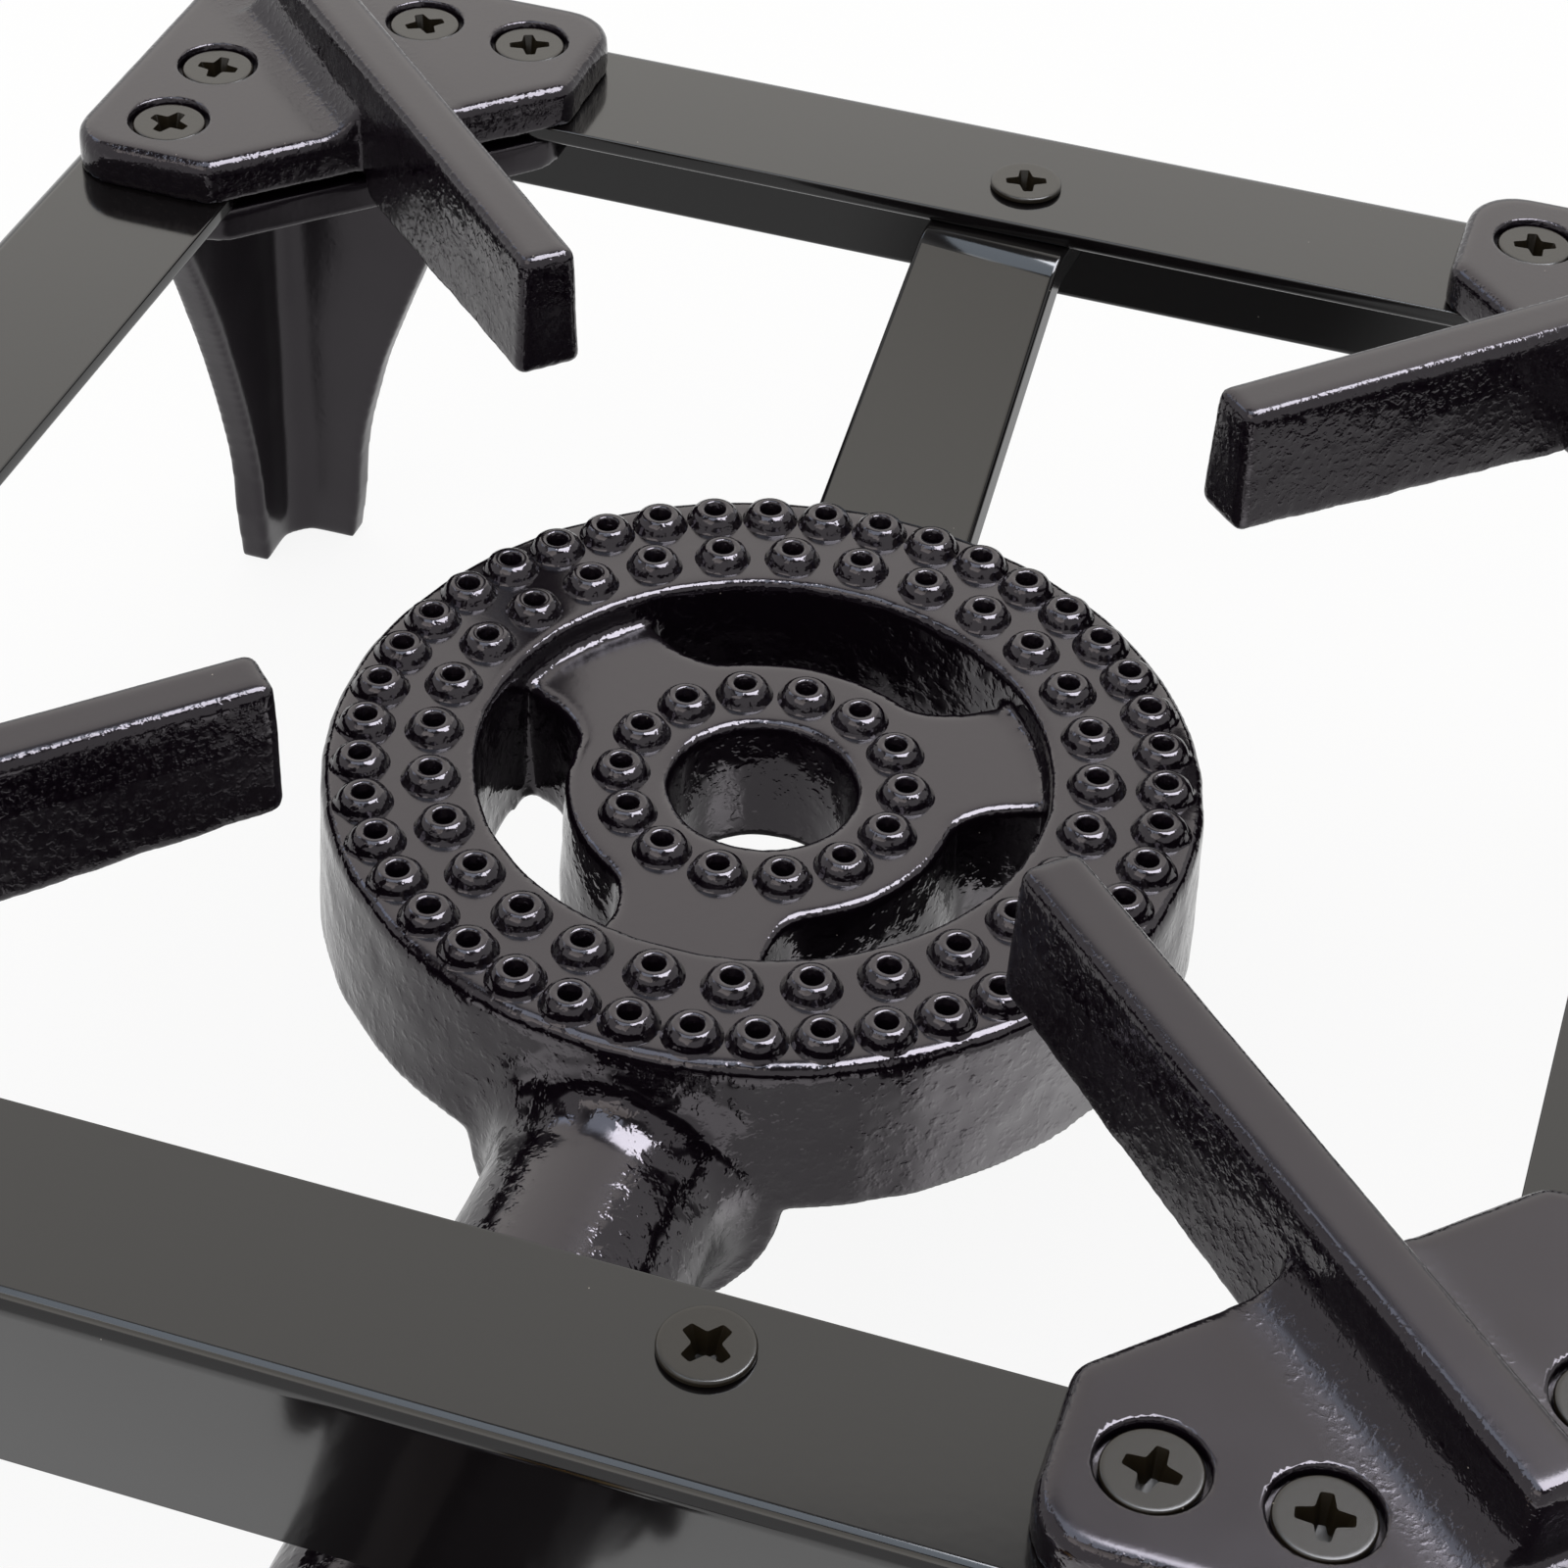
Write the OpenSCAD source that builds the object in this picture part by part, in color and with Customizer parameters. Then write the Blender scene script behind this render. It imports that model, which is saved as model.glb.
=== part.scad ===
// Single burner cooker: a square angle iron frame on four cast legs, four cast
// pan supports, and a cast iron ring burner hung below the frame on two straps.

/* [Frame] */
// Outer width and depth of the square frame
frame_w = 400; // [340:5:480]
// Width of each flange of the angle iron
angle_w = 40; // [32:1:50]
// Thickness of the angle iron
angle_t = 4; // [3:0.5:5]
// Radius of the outer top edge of the angle iron
angle_edge_r = 3; // [1:0.5:4]
// Height of the frame's top face above the floor
frame_h = 154; // [130:2:220]
// Gap at each mitred corner between two rails
mitre_gap = 0.4; // [0.2:0.1:1]

/* [Corner castings] */
// Thickness of the corner plate on top of the frame
plate_t = 10; // [7:0.5:13]
// Distance of the plate's edge from the frame's outer edge
plate_inset = 2; // [1:0.5:4]
// Reach of each wing of the plate along its rail
wing_reach = 99; // [92:1:110]
// Distance of the wing's inner corner from the frame's outer edge
wing_inner = 37; // [34:1:42]
// Corner radius of the outer wing ends
wing_r = 12; // [4:1:14]
// Corner radius where the wing ends meet the diagonal edge
diagonal_r = 5; // [2:1:8]
// Width of the pan support at its top face
finger_w = 12; // [9:0.5:14]
// Extra width of the pan support at its underside, from the casting draft
finger_draft = 3; // [1:0.5:4]
// Height of the pan support above the frame's top face
finger_h = 26; // [20:1:36]
// Drop of the pan support's inner end below the frame's top face
finger_drop = 2; // [0:0.5:6]
// Drop of the pan support below the frame's top face beside the plate
root_drop = 6; // [2:0.5:8]
// Distance of the pan support's inner end from the burner axis
finger_inner_r = 101; // [94:1:120]
// Distance of the pan support's outer end from the frame's corner
finger_corner_gap = 34; // [28:1:44]
// Radius of the fillet between the pan support and its plate
finger_fillet = 9; // [5:1:10]
// Length over which the pan support's underside drops beside the plate
root_ramp = 3; // [2:0.5:5]

/* [Legs] */
// Thickness of the leg's walls
leg_t = 8; // [6:0.5:10]
// Thickness of the leg's top flange
leg_flange_t = 8; // [6:0.5:10]
// Gap between the leg and the inside of the angle iron
leg_gap = 0.5; // [0.3:0.1:1]
// Width of each wall at the floor
foot_w = 24; // [18:1:34]
// Width that each wall gains up to the underside of the flange
leg_spread = 50; // [30:1:54]
// How sharply the wall's edge curves outwards at the top
leg_curve = 1.7; // [1.2:0.1:2.4]
// Reach of the leg's flange along its rail
leg_reach = 95; // [91:1:104]
// Setback of the flange's diagonal edge from that of the plate
leg_setback = 4; // [1:1:6]
// Radius of the fillet inside the leg's corner
leg_fillet = 5; // [2:0.5:7]

/* [Fasteners] */
// Thread diameter of all the frame screws
screw_d = 8; // [6:1:8]
// Diameter of a countersunk head
head_d = 16; // [14:0.5:16]
// Height of the cylindrical land above the head's cone
head_land = 1; // [0.5:0.25:1.5]
// Radial clearance of a screw in the holes that it passes
hole_gap = 0.3; // [0.2:0.1:0.6]
// Radial clearance between a screw and its thread
thread_gap = 0.05; // [0.02:0.01:0.1]
// Depth of the shallow pocket round each corner screw head
pocket_h = 1.5; // [1:0.25:2]
// Width of the gap round each corner screw head
pocket_gap = 0.9; // [0.5:0.1:1.2]
// Distance of the corner screws from the frame's outer edge
screw_in = 21; // [19:0.5:24]
// Distance of the nearer corner screw from the frame's corner
screw_near = 57; // [54:0.5:60]
// Distance between the two corner screws on one rail
screw_pitch = 26; // [20:0.5:28]
// Height by which the strap screws stand proud of the rail
strap_head_proud = 1.5; // [1:0.25:2]
// Width of the nuts across their flats
nut_af = 13; // [10:0.5:13.5]
// Thickness of the nuts
nut_t = 6.5; // [5:0.5:8]
// Length of thread that shows below each nut
screw_tail = 2; // [1:0.5:4]
// Length of the two slots of the cross recess
recess_l = 8; // [6:0.5:10]
// Width of the slots of the cross recess
recess_w = 2; // [1.5:0.25:3]
// Depth of the cross recess
recess_depth = 2.5; // [1.5:0.25:3.5]

/* [Burner] */
// Outer radius of the burner ring at its underside
ring_r = 88; // [84:0.5:90]
// Radius lost from the underside of the ring to its top, from the casting draft
ring_draft = 1.5; // [0:0.5:3]
// Inner radius of the burner ring
ring_inner_r = 56.5; // [54:0.5:58]
// Depth of the burner's top face below the frame's top face
ring_sink = 30.5; // [26:0.5:36]
// Height of the burner ring
ring_h = 35.5; // [32:0.5:42]
// Radius of the ring's outer top edge
ring_edge_r = 2.5; // [1:0.5:4]
// Step from the ring's top face down to the hub and the spokes
hub_step = 6.5; // [3:0.5:8]
// Radius of the hub
hub_r = 39; // [36:0.5:41]
// Diameter of the bore through the hub
hub_bore_d = 37; // [30:0.5:38]
// Thickness of the casting's walls
wall_t = 4.5; // [4:0.25:5]
// Width of the inner walls at their top, beside the flame ports
wall_lip = 2.5; // [2:0.25:3.5]
// Half of the angle that each opening between the spokes covers
opening_half_angle = 43; // [38:1:46]
// Angle that the rounded end of an opening covers
opening_end_angle = 14; // [8:1:18]
// Diameter of the gas passage in each spoke
passage_d = 12; // [8:1:14]

/* [Flame ports] */
// Radius of the outer circle of ports
ports_outer_r = 78.8; // [76:0.2:80]
// Number of ports on the outer circle
ports_outer_n = 42; // [30:2:42]
// Radius of the middle circle of ports
ports_mid_r = 65.3; // [64:0.1:67]
// Number of ports on the middle circle
ports_mid_n = 28; // [20:2:28]
// Radius of the inner circle of ports
ports_inner_r = 28.2; // [26:0.2:30]
// Number of ports on the inner circle
ports_inner_n = 14; // [10:1:14]
// Diameter of a port's boss at its base
port_base_d = 10.8; // [8:0.2:11]
// Diameter of a port's boss at its flat top
port_top_d = 7.6; // [6:0.2:8]
// Height of a port's boss
port_h = 3; // [1.5:0.25:4]
// Diameter of the drilled port
port_hole_d = 4.3; // [2:0.1:5]

/* [Mixing tube] */
// Outer diameter of the mixing tube
tube_d = 46; // [40:1:48]
// Inner diameter of the mixing tube
tube_bore_d = 37; // [30:1:38]
// Height of the tube's axis above the underside of the ring
tube_rise = 0.5; // [-4:0.5:2]
// Distance from the frame's front to the mouth of the bell
bell_reach = 52; // [46:1:80]
// Length of the flared bell
bell_l = 44; // [30:1:45]
// Outer diameter of the bell at its mouth
bell_d = 64; // [58:1:66]
// Wall thickness at the bell's lip
bell_wall = 4; // [3:0.5:5]
// Length of the bell's straight lip
bell_lip = 3; // [1:0.5:5]
// Thickness of the bridge's arms
arm_t = 6; // [4:0.5:8]
// Height of the bridge's arms
arm_h = 14; // [10:1:20]
// Depth of the bridge's arms inside the bell's outer edge
arm_bite = 1.5; // [1:0.25:2]
// Length of the bridge's arms along the bell
arm_lap = 8; // [5:0.5:10]
// Distance from the bell's mouth to the bridge's crossbar
bridge_reach = 32; // [30:1:44]
// Thickness of the crossbar
bridge_t = 8; // [6:0.5:12]
// Height of the crossbar's boss above each of its faces
boss_proud = 4; // [2:0.5:5]
// Wall of the crossbar's boss round the injector holder
boss_wall = 6; // [4:0.5:8]
// Height of the lug below the tube that the front strap is bolted to
lug_h = 10; // [9:0.5:14]

/* [Straps] */
// Thickness of the burner straps
strap_t = 8; // [5:0.5:10]
// Width of the back strap at the rail
strap_w_rail = 30; // [26:1:34]
// Width of the back strap at the burner
strap_w_back = 40; // [30:1:44]
// Width of the front strap
strap_w_front = 24; // [20:1:24]
// Sideways place of the back strap's rail screw
back_screw_x = 3.5; // [0:0.5:8]
// Distance of the back strap's rail screw from the frame's outer edge
back_screw_in = 24; // [20:0.5:26]
// Sideways place of the back strap's burner bolt
back_bolt_x = -9; // [-14:0.5:0]
// Sideways place of the front strap's rail screw
front_screw_x = 45.5; // [44:0.5:52]
// Distance of the front strap's rail screw from the frame's outer edge
front_screw_in = 28; // [22:0.5:29]
// Gap from the ring's wall to the back strap's lower bend
strap_ring_gap = 4; // [3:0.5:8]
// Gap from the rail's inner edge to the back strap's upper bend
strap_rail_gap = 4; // [2:0.5:6]
// Gap from the mixing tube to the upright part of the front strap
strap_tube_gap = 4.5; // [3:0.5:5]
// Reach of a strap past the middle of its screw or bolt
strap_end = 14; // [11:1:15]
// Thickness of the burner bolts' heads
bolt_head_t = 5.3; // [4:0.1:7]
// Depth of a burner bolt's thread in the casting
bolt_grip = 12; // [8:1:12]
// Gap between a burner bolt's end and the end of its hole
bolt_end_gap = 1; // [0.5:0.25:2]
// Wall of the boss round a burner bolt
bolt_boss_wall = 4; // [3:0.25:5]

/* [Gas fittings] */
// Outer diameter of the injector holder
holder_d = 14; // [12:0.5:16]
// Diameter of the gas way through the fittings
gas_way_d = 7; // [5:0.5:7.5]
// Width of the large hexagons across their flats
hex_af = 19; // [17:1:24]
// Length of the holder's hexagon
holder_hex_l = 12; // [11:1:16]
// Reach of the injector holder past the bell's mouth plane
holder_reach = 2; // [0:0.5:4]
// Diameter of the threaded spigot that joins the tap to the holder
spigot_d = 12; // [10.5:0.25:12.5]
// Length of the threaded spigot that joins the tap to the holder
spigot_l = 8.5; // [6:0.5:10]
// Gap between a spigot's end and the end of its socket
spigot_gap = 0.5; // [0.3:0.1:1]
// Thickness of the holder's lock nut
lock_nut_t = 5; // [4:0.5:6]
// Width of the injector's hexagon across its flats
injector_af = 11; // [10:0.5:12]
// Length of the injector in front of the holder
injector_l = 14; // [10:1:18]
// Length of the injector's hexagon
injector_hex_l = 5; // [3:0.5:7]
// Diameter of the injector's tip
injector_tip_d = 5.5; // [4:0.5:7]
// Diameter of the injector's cone beside its hexagon
injector_cone_d = 10; // [8:0.5:11]
// Length of the injector's stem inside the holder
injector_stem_l = 6; // [4:0.5:8]
// Wall of the injector's stem
injector_wall = 1.5; // [1:0.1:1.8]
// Diameter of the injector's jet
jet_d = 1; // [0.6:0.1:1.5]
// Length of the injector's jet
jet_l = 4; // [2:0.5:5]
// Overlap of the air shutter's disc on the bell's lip
shutter_lap = 1; // [0.4:0.1:1.2]
// Thickness of the air shutter's disc
shutter_t = 2.5; // [2:0.5:3]
// Diameter of the air shutter's knurled boss
shutter_boss_d = 24; // [20:1:28]
// Length of the air shutter's knurled boss
shutter_boss_l = 7; // [5:1:8]
// Gap between the closed shutter and the bell's mouth
shutter_gap = 0.6; // [0.4:0.1:1]

/* [Gas tap] */
// Outer diameter of the tap's upright barrel
barrel_d = 26; // [24:1:30]
// Height of the tap's barrel
barrel_h = 34; // [28:1:40]
// Diameter of the tap's plug
plug_d = 15; // [13:0.5:16]
// Running clearance round the plug and round the shutter's bore
run_gap = 0.05; // [0.03:0.01:0.08]
// Distance from the holder's hexagon to the tap's axis
tap_reach = 24; // [22:1:30]
// Length of the hexagon at the tap's outlet
tap_hex_l = 7; // [5:0.5:8]
// Distance from the tap's barrel to the end of its inlet hexagon
inlet_proud = 4; // [3:0.5:8]
// Diameter of the plug's spindle
spindle_d = 8; // [6:0.5:9]
// Length of the spindle inside the handle
spindle_l = 12; // [10:1:16]
// Gap between the handle and the barrel
handle_lift = 0.8; // [0.5:0.1:2]
// Diameter of the handle's hub
handle_hub_d = 22; // [18:1:26]
// Height of the handle's hub
handle_hub_h = 14; // [13:1:18]
// Length of the handle's lever from the tap's axis
lever_l = 46; // [36:1:60]
// Width of the handle's lever
lever_w = 12; // [9:1:14]
// Thickness of the handle's lever
lever_t = 7; // [5:0.5:9]
// Diameter of the screw that holds the handle
handle_screw_d = 4; // [3:0.5:4]
// Length of the handle screw's thread in the spindle
handle_screw_l = 8; // [6:0.5:9]
// Diameter of the handle screw's head
handle_screw_head_d = 8; // [7:0.5:9]
// Thickness of the handle screw's head
handle_screw_head_t = 2.5; // [2:0.25:3]
// Width of the slot in the handle screw's head
slot_w = 1.2; // [0.8:0.1:1.6]
// Depth of the slot in the handle screw's head
slot_depth = 1.2; // [0.8:0.1:1.5]
// Diameter of the stud below the plug
stud_d = 6; // [5:0.5:6]
// Gap between the tap's barrel and the washer below it
washer_gap = 0.3; // [0.2:0.1:0.6]
// Thickness of the washer below the plug
washer_t = 1.5; // [1:0.25:2]
// Distance by which the washer's edge passes the plug's
washer_lap = 2.5; // [1.5:0.25:4]
// Length of the plug's spring
spring_l = 7; // [6.5:0.25:9]
// Thickness of the plug's nut
plug_nut_t = 5; // [4:0.25:6]
// Width of the plug's nut across its flats
plug_nut_af = 10; // [9:0.5:12]
// Length of the stud that shows below the plug's nut
stud_tail = 2; // [1:0.5:3]
// Outside diameter of the plug's spring
spring_d = 11; // [10.5:0.5:12]
// Wire diameter of the plug's spring
spring_wire = 1.4; // [1:0.1:1.6]
// Turns of the plug's spring
spring_turns = 4; // [3:1:5]
// Outer diameter of the hose nozzle's barbs
hose_barb_d = 11; // [9.5:0.5:13]
// Diameter of the hose nozzle between its barbs
hose_stem_d = 9; // [8.5:0.1:9.4]
// Number of barbs on the hose nozzle
hose_barbs = 4; // [3:1:5]
// Distance from one barb to the next
barb_pitch = 6.5; // [5:0.5:8]
// Length of the hose nozzle's hexagon
nozzle_hex_l = 8; // [6:1:10]
// Width of the hose nozzle's hexagon across its flats
nozzle_hex_af = 17; // [15:0.5:20]
// Diameter of the hose nozzle's threaded spigot
nozzle_spigot_d = 10; // [9.5:0.25:11]
// Length of the hose nozzle's threaded spigot
nozzle_spigot_l = 8; // [5:0.5:9]
// Diameter of the hose nozzle's bore
nozzle_bore_d = 5; // [4:0.5:6]
// Length of each barb
barb_l = 5.2; // [3:0.1:5.5]
// Plain stem between the hose nozzle's hexagon and its first barb
barb_lead = 3; // [2:0.5:6]

/* [Hidden] */
$fn = 64;

// Distance by which a cut passes clean through another face
cut = 1;
// Overlap that joins two shapes into one solid
weld = 0.01;
// Radial clearance of a countersunk head in its seat
seat_gap = 0.02;
// Depth by which a fillet's arc cuts into the two faces that it joins
fillet_bite = 0.1;
// Steps of an arc of a quarter turn
arc_steps = 8;
half = frame_w / 2;
screw_far = screw_near + screw_pitch;
flange_z = frame_h - angle_t;
leg_top_z = flange_z - leg_flange_t;
// Ratio of a square's diagonal to its side
diagonal = sqrt(2);
finger_outer_r = half * diagonal - finger_corner_gap;
diagonal_sum = wing_inner + wing_reach;
plate_diagonal_r = half * diagonal - diagonal_sum / diagonal;
head_cone = (head_d - screw_d) / 2;
head_h = head_land + head_cone;

ring_top_z = frame_h - ring_sink;
ring_z = ring_top_z - ring_h;
hub_top_z = ring_top_z - hub_step;
axis_z = ring_z + tube_rise;
lug_z = axis_z - tube_d / 2 - lug_h;
// The back burner bolt stands midway between the ring's inner and outer edges
bolt_circle_r = (ring_inner_r + ring_r) / 2;
// Directions of the middles of the three openings between hub and ring, and of the spokes
openings = [90, 210, 330];
spokes = [30, 150, 270];
spoke_half_angle = (openings[1] - openings[0]) / 2 - opening_half_angle;

mouth_y = -half - bell_reach;
bridge_y = mouth_y - bridge_reach;
boss_front_y = bridge_y - bridge_t - boss_proud;
boss_back_y = bridge_y + boss_proud;
arm_x = bell_d / 2 - arm_bite;
holder_end_y = mouth_y + holder_reach;
hex_y = boss_front_y - holder_hex_l;
tap_y = hex_y - tap_reach;
nozzle_y = tap_y - barrel_d / 2 - inlet_proud;
nozzle_l = nozzle_hex_l + barb_lead + hose_barbs * barb_pitch;
front_y = nozzle_y - nozzle_l;
socket_l = spigot_l + spigot_gap;

shutter_d = bell_d - 2 * bell_wall + 2 * shutter_lap;
shutter_l = shutter_t + shutter_boss_l;
shutter_y = mouth_y - shutter_gap;

plug_top_z = axis_z + barrel_h / 2;
plug_low_z = axis_z - barrel_h / 2;
washer_z = plug_low_z - washer_gap - washer_t;
spring_z = washer_z - spring_l;
plug_nut_z = spring_z - plug_nut_t;
handle_z = plug_top_z + handle_lift;
handle_top_z = handle_z + handle_hub_h;
handle_thread_z = handle_z + spindle_l - handle_screw_l;

// The origin is on the floor, under the middle of the whole cooker
shift_y = -(half + front_y) / 2;

// Points of an arc of radius r round c, from angle a to angle b
function arc(c, r, a, b, n) =
    [for (i = [0:n]) c + r * [cos(a + (b - a) * i / n), sin(a + (b - a) * i / n)]];
function unit(v) = v / norm(v);

// One corner of an outline, p between q and s, rounded with radius r
function round_corner(q, p, s, r, n = arc_steps) =
    let (
        u = unit(q - p),
        v = unit(s - p),
        w = unit(u + v),
        opening = acos(u * v),
        centre = p + w * r / sin(opening / 2),
        start = atan2(-(w[1]), -(w[0])),
        turn = (180 - opening) / 2,
        side = u[0] * v[1] - u[1] * v[0] > 0 ? -1 : 1
    )
    [for (i = [0:n])
        let (a = start + side * turn * (2 * i / n - 1))
        centre + r * [cos(a), sin(a)]];

// A closed outline whose corners have the radii of the second list
function rounded(pts, radii) =
    let (n = len(pts))
    [for (i = [0:n - 1])
        each round_corner(pts[(i + n - 1) % n], pts[i], pts[(i + 1) % n], radii[i])];

// Outline of a corner plate or a leg's flange, from the frame's corner
function corner_outline(inset, reach, inner, r_out, r_in) =
    rounded(
        [[inset, inset], [reach, inset], [reach, inner], [inner, reach], [inset, reach]],
        [r_out, r_out, r_in, r_in, r_out]
    );

function leg_width(h) = foot_w + leg_spread * pow(h / leg_top_z, leg_curve);

// Inner edge of an opening at angle a from its middle
function opening_r(a) =
    let (s = max(0, abs(a) - opening_half_angle + opening_end_angle) / opening_end_angle)
    hub_r + (ring_inner_r - hub_r) * (1 - sqrt(max(0, 1 - s * s)));

// Place a part that is drawn round the burner axis
module placed() { translate([0, shift_y, 0]) children(); }

// Turn a part from the front left corner to corner number i
module at_corner(i) { placed() rotate(90 * i) translate([-half, -half, 0]) children(); }

// Lay a part that is drawn along +Z so that it runs forwards from y on the gas axis
module forwards(y) { translate([0, y, axis_z]) rotate([90, 0, 0]) children(); }

module at_corner_screws() {
    for (d = [screw_near, screw_far]) {
        translate([d, screw_in, 0]) children();
        translate([screw_in, d, 0]) children();
    }
}

module hexagon(af, h) { cylinder(d = af / cos(30), h = h, $fn = 6); }

// A countersunk screw whose head's top is at z = 0, with its cross recess
module screw(length) {
    difference() {
        union() {
            translate([0, 0, -head_land]) cylinder(d = head_d, h = head_land);
            translate([0, 0, -head_h]) cylinder(d1 = screw_d, d2 = head_d, h = head_cone);
            translate([0, 0, -length]) cylinder(d = screw_d, h = length - head_h + weld);
        }
        for (a = [0, 90]) {
            rotate(a) translate([-recess_l / 2, -recess_w / 2, -recess_depth])
                cube([recess_l, recess_w, recess_depth + cut]);
        }
    }
}

// The cut that a countersunk head and its shank need, head's top at z = 0
module screw_cut(depth) {
    head = head_d / 2 + seat_gap;
    translate([0, 0, -head_land]) cylinder(r = head, h = head_land + cut);
    translate([0, 0, -head_h]) cylinder(r1 = screw_d / 2 + seat_gap, r2 = head, h = head_cone);
    translate([0, 0, -depth])
        cylinder(r = screw_d / 2 + hole_gap, h = depth - head_land - head_cone / 2);
}

module nut(af, h, bore_d) {
    difference() {
        hexagon(af, h);
        translate([0, 0, -cut]) cylinder(d = bore_d + 2 * thread_gap, h = h + 2 * cut);
    }
}

// One rail, drawn from its outer edge inwards, with its top face at z = 0
module rail(strap_x, strap_in) {
    l = half - mitre_gap / 2;
    difference() {
        intersection() {
            rotate([90, 0, 90]) translate([0, 0, -l]) linear_extrude(2 * l) rail_section();
            translate([0, 0, -angle_w - cut]) linear_extrude(angle_w + 2 * cut)
                polygon([[-l, 0], [l, 0], [l - angle_w - cut, angle_w + cut],
                         [-l + angle_w + cut, angle_w + cut]]);
        }
        for (s = [-1, 1], d = [screw_near, screw_far]) {
            translate([s * (half - d), screw_in, -angle_t - cut])
                cylinder(r = screw_d / 2 + hole_gap, h = angle_t + 2 * cut);
        }
        if (strap_in > 0) {
            translate([strap_x, strap_in, strap_head_proud]) screw_cut(angle_t + 2 * cut);
        }
    }
}

module rail_section() {
    difference() {
        translate([0, -angle_w]) square(angle_w);
        translate([angle_t, -angle_w - cut]) square([angle_w, angle_w - angle_t + cut]);
        difference() {
            translate([-cut, -angle_edge_r]) square(angle_edge_r + cut);
            translate([angle_edge_r, -angle_edge_r]) circle(r = angle_edge_r);
        }
    }
}

module rail_front() {
    color("#4a4848") placed() translate([0, -half, frame_h]) rail(front_screw_x, front_screw_in);
}
module rail_right() {
    color("#4a4848") placed() rotate(90) translate([0, -half, frame_h]) rail(0, 0);
}
module rail_back() {
    color("#4a4848") placed() rotate(180) translate([0, -half, frame_h])
        rail(-back_screw_x, back_screw_in);
}
module rail_left() {
    color("#4a4848") placed() rotate(270) translate([0, -half, frame_h]) rail(0, 0);
}

// Half of the pan support's width at height z above the frame's top face
function finger_x(z) = (finger_w + finger_draft * (finger_h - z) / (finger_h + root_drop)) / 2;

// Cross-section of the pan support, and of its fillets onto the plate
module finger_section() {
    base = finger_x(-root_drop);
    top = finger_x(finger_h);
    polygon([[-base, -root_drop], [base, -root_drop], [top, finger_h], [-top, finger_h]]);
}

module fillet_section() {
    top_z = plate_t + finger_fillet;
    toe = finger_x(top_z) + finger_fillet;
    difference() {
        translate([-toe, plate_t - cut]) square([2 * toe, finger_fillet + cut]);
        for (s = [-1, 1]) {
            translate([s * (toe - fillet_bite), top_z - fillet_bite]) circle(r = finger_fillet);
            translate([s * toe - finger_fillet / 2, top_z - finger_fillet / 2]) square(finger_fillet);
        }
    }
}

// A corner casting: the plate on the frame and the pan support that reaches inwards
module pan_support(i) {
    l = finger_outer_r - finger_inner_r;
    depth = 2 * (finger_w + finger_draft);
    color("#1c1b1d") at_corner(i) translate([0, 0, frame_h]) difference() {
        union() {
            linear_extrude(plate_t)
                polygon(corner_outline(plate_inset, wing_reach, wing_inner, wing_r, diagonal_r));
            translate([half, half, 0]) rotate(45) {
                intersection() {
                    translate([-finger_outer_r, 0, 0]) rotate([90, 0, 90])
                        linear_extrude(l) finger_section();
                    translate([0, depth / 2, 0]) rotate([90, 0, 0]) linear_extrude(depth)
                        polygon([
                            [-finger_outer_r - cut, 0], [-plate_diagonal_r - cut, 0],
                            [-plate_diagonal_r - cut + root_ramp, -root_drop],
                            [-finger_inner_r, -finger_drop],
                            [-finger_inner_r, finger_h + cut], [-finger_outer_r - cut, finger_h + cut]
                        ]);
                }
                translate([-finger_outer_r, 0, 0]) rotate([90, 0, 90])
                    linear_extrude(finger_outer_r - plate_diagonal_r - 2 * cut) fillet_section();
            }
        }
        at_corner_screws() translate([0, 0, plate_t - pocket_h]) {
            screw_cut(plate_t + cut);
            cylinder(r = head_d / 2 + pocket_gap, h = pocket_h + finger_h);
        }
    }
}

module pan_support_front_left() { pan_support(0); }
module pan_support_front_right() { pan_support(1); }
module pan_support_back_right() { pan_support(2); }
module pan_support_back_left() { pan_support(3); }

// One wall of a leg, drawn along +X from the leg's corner, with its curved edge
module leg_wall() {
    steps = 14;
    rotate([90, 0, 0]) translate([0, 0, -leg_t]) linear_extrude(leg_t)
        polygon([
            [0, 0],
            for (i = [0:steps]) [leg_width(leg_top_z * i / steps), leg_top_z * i / steps],
            [0, leg_top_z]
        ]);
}

// Cross-section of the fillet inside the leg's corner
module leg_corner() {
    difference() {
        translate([-cut, -cut]) square(leg_fillet + cut);
        translate([leg_fillet, leg_fillet]) circle(r = leg_fillet);
    }
}

// A leg: two walls that stand inside the frame's corner, and a flange under the rails
module leg(i) {
    inset = angle_t + leg_gap;
    inner = diagonal_sum - leg_setback - leg_reach;
    color("#232226") at_corner(i) difference() {
        union() {
            translate([0, 0, leg_top_z]) linear_extrude(leg_flange_t)
                polygon(corner_outline(inset, leg_reach, inner, wing_r / 2, diagonal_r));
            translate([inset, inset, 0]) leg_wall();
            translate([inset, inset, 0]) mirror([1, -1, 0]) leg_wall();
            translate([inset + leg_t, inset + leg_t, 0]) linear_extrude(leg_top_z) leg_corner();
        }
        at_corner_screws() translate([0, 0, leg_top_z - cut])
            cylinder(r = screw_d / 2 + hole_gap, h = leg_flange_t + 2 * cut);
    }
}

module leg_front_left() { leg(0); }
module leg_front_right() { leg(1); }
module leg_back_right() { leg(2); }
module leg_back_left() { leg(3); }

module corner_screws() {
    top = plate_t - pocket_h;
    color("#3b382f") for (i = [0:3]) at_corner(i) translate([0, 0, frame_h + top])
        at_corner_screws() screw(top + angle_t + leg_flange_t + nut_t + screw_tail);
}

module corner_nuts() {
    color("#3b382f") for (i = [0:3]) at_corner(i) translate([0, 0, leg_top_z - nut_t])
        at_corner_screws() nut(nut_af, nut_t, screw_d);
}

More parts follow.
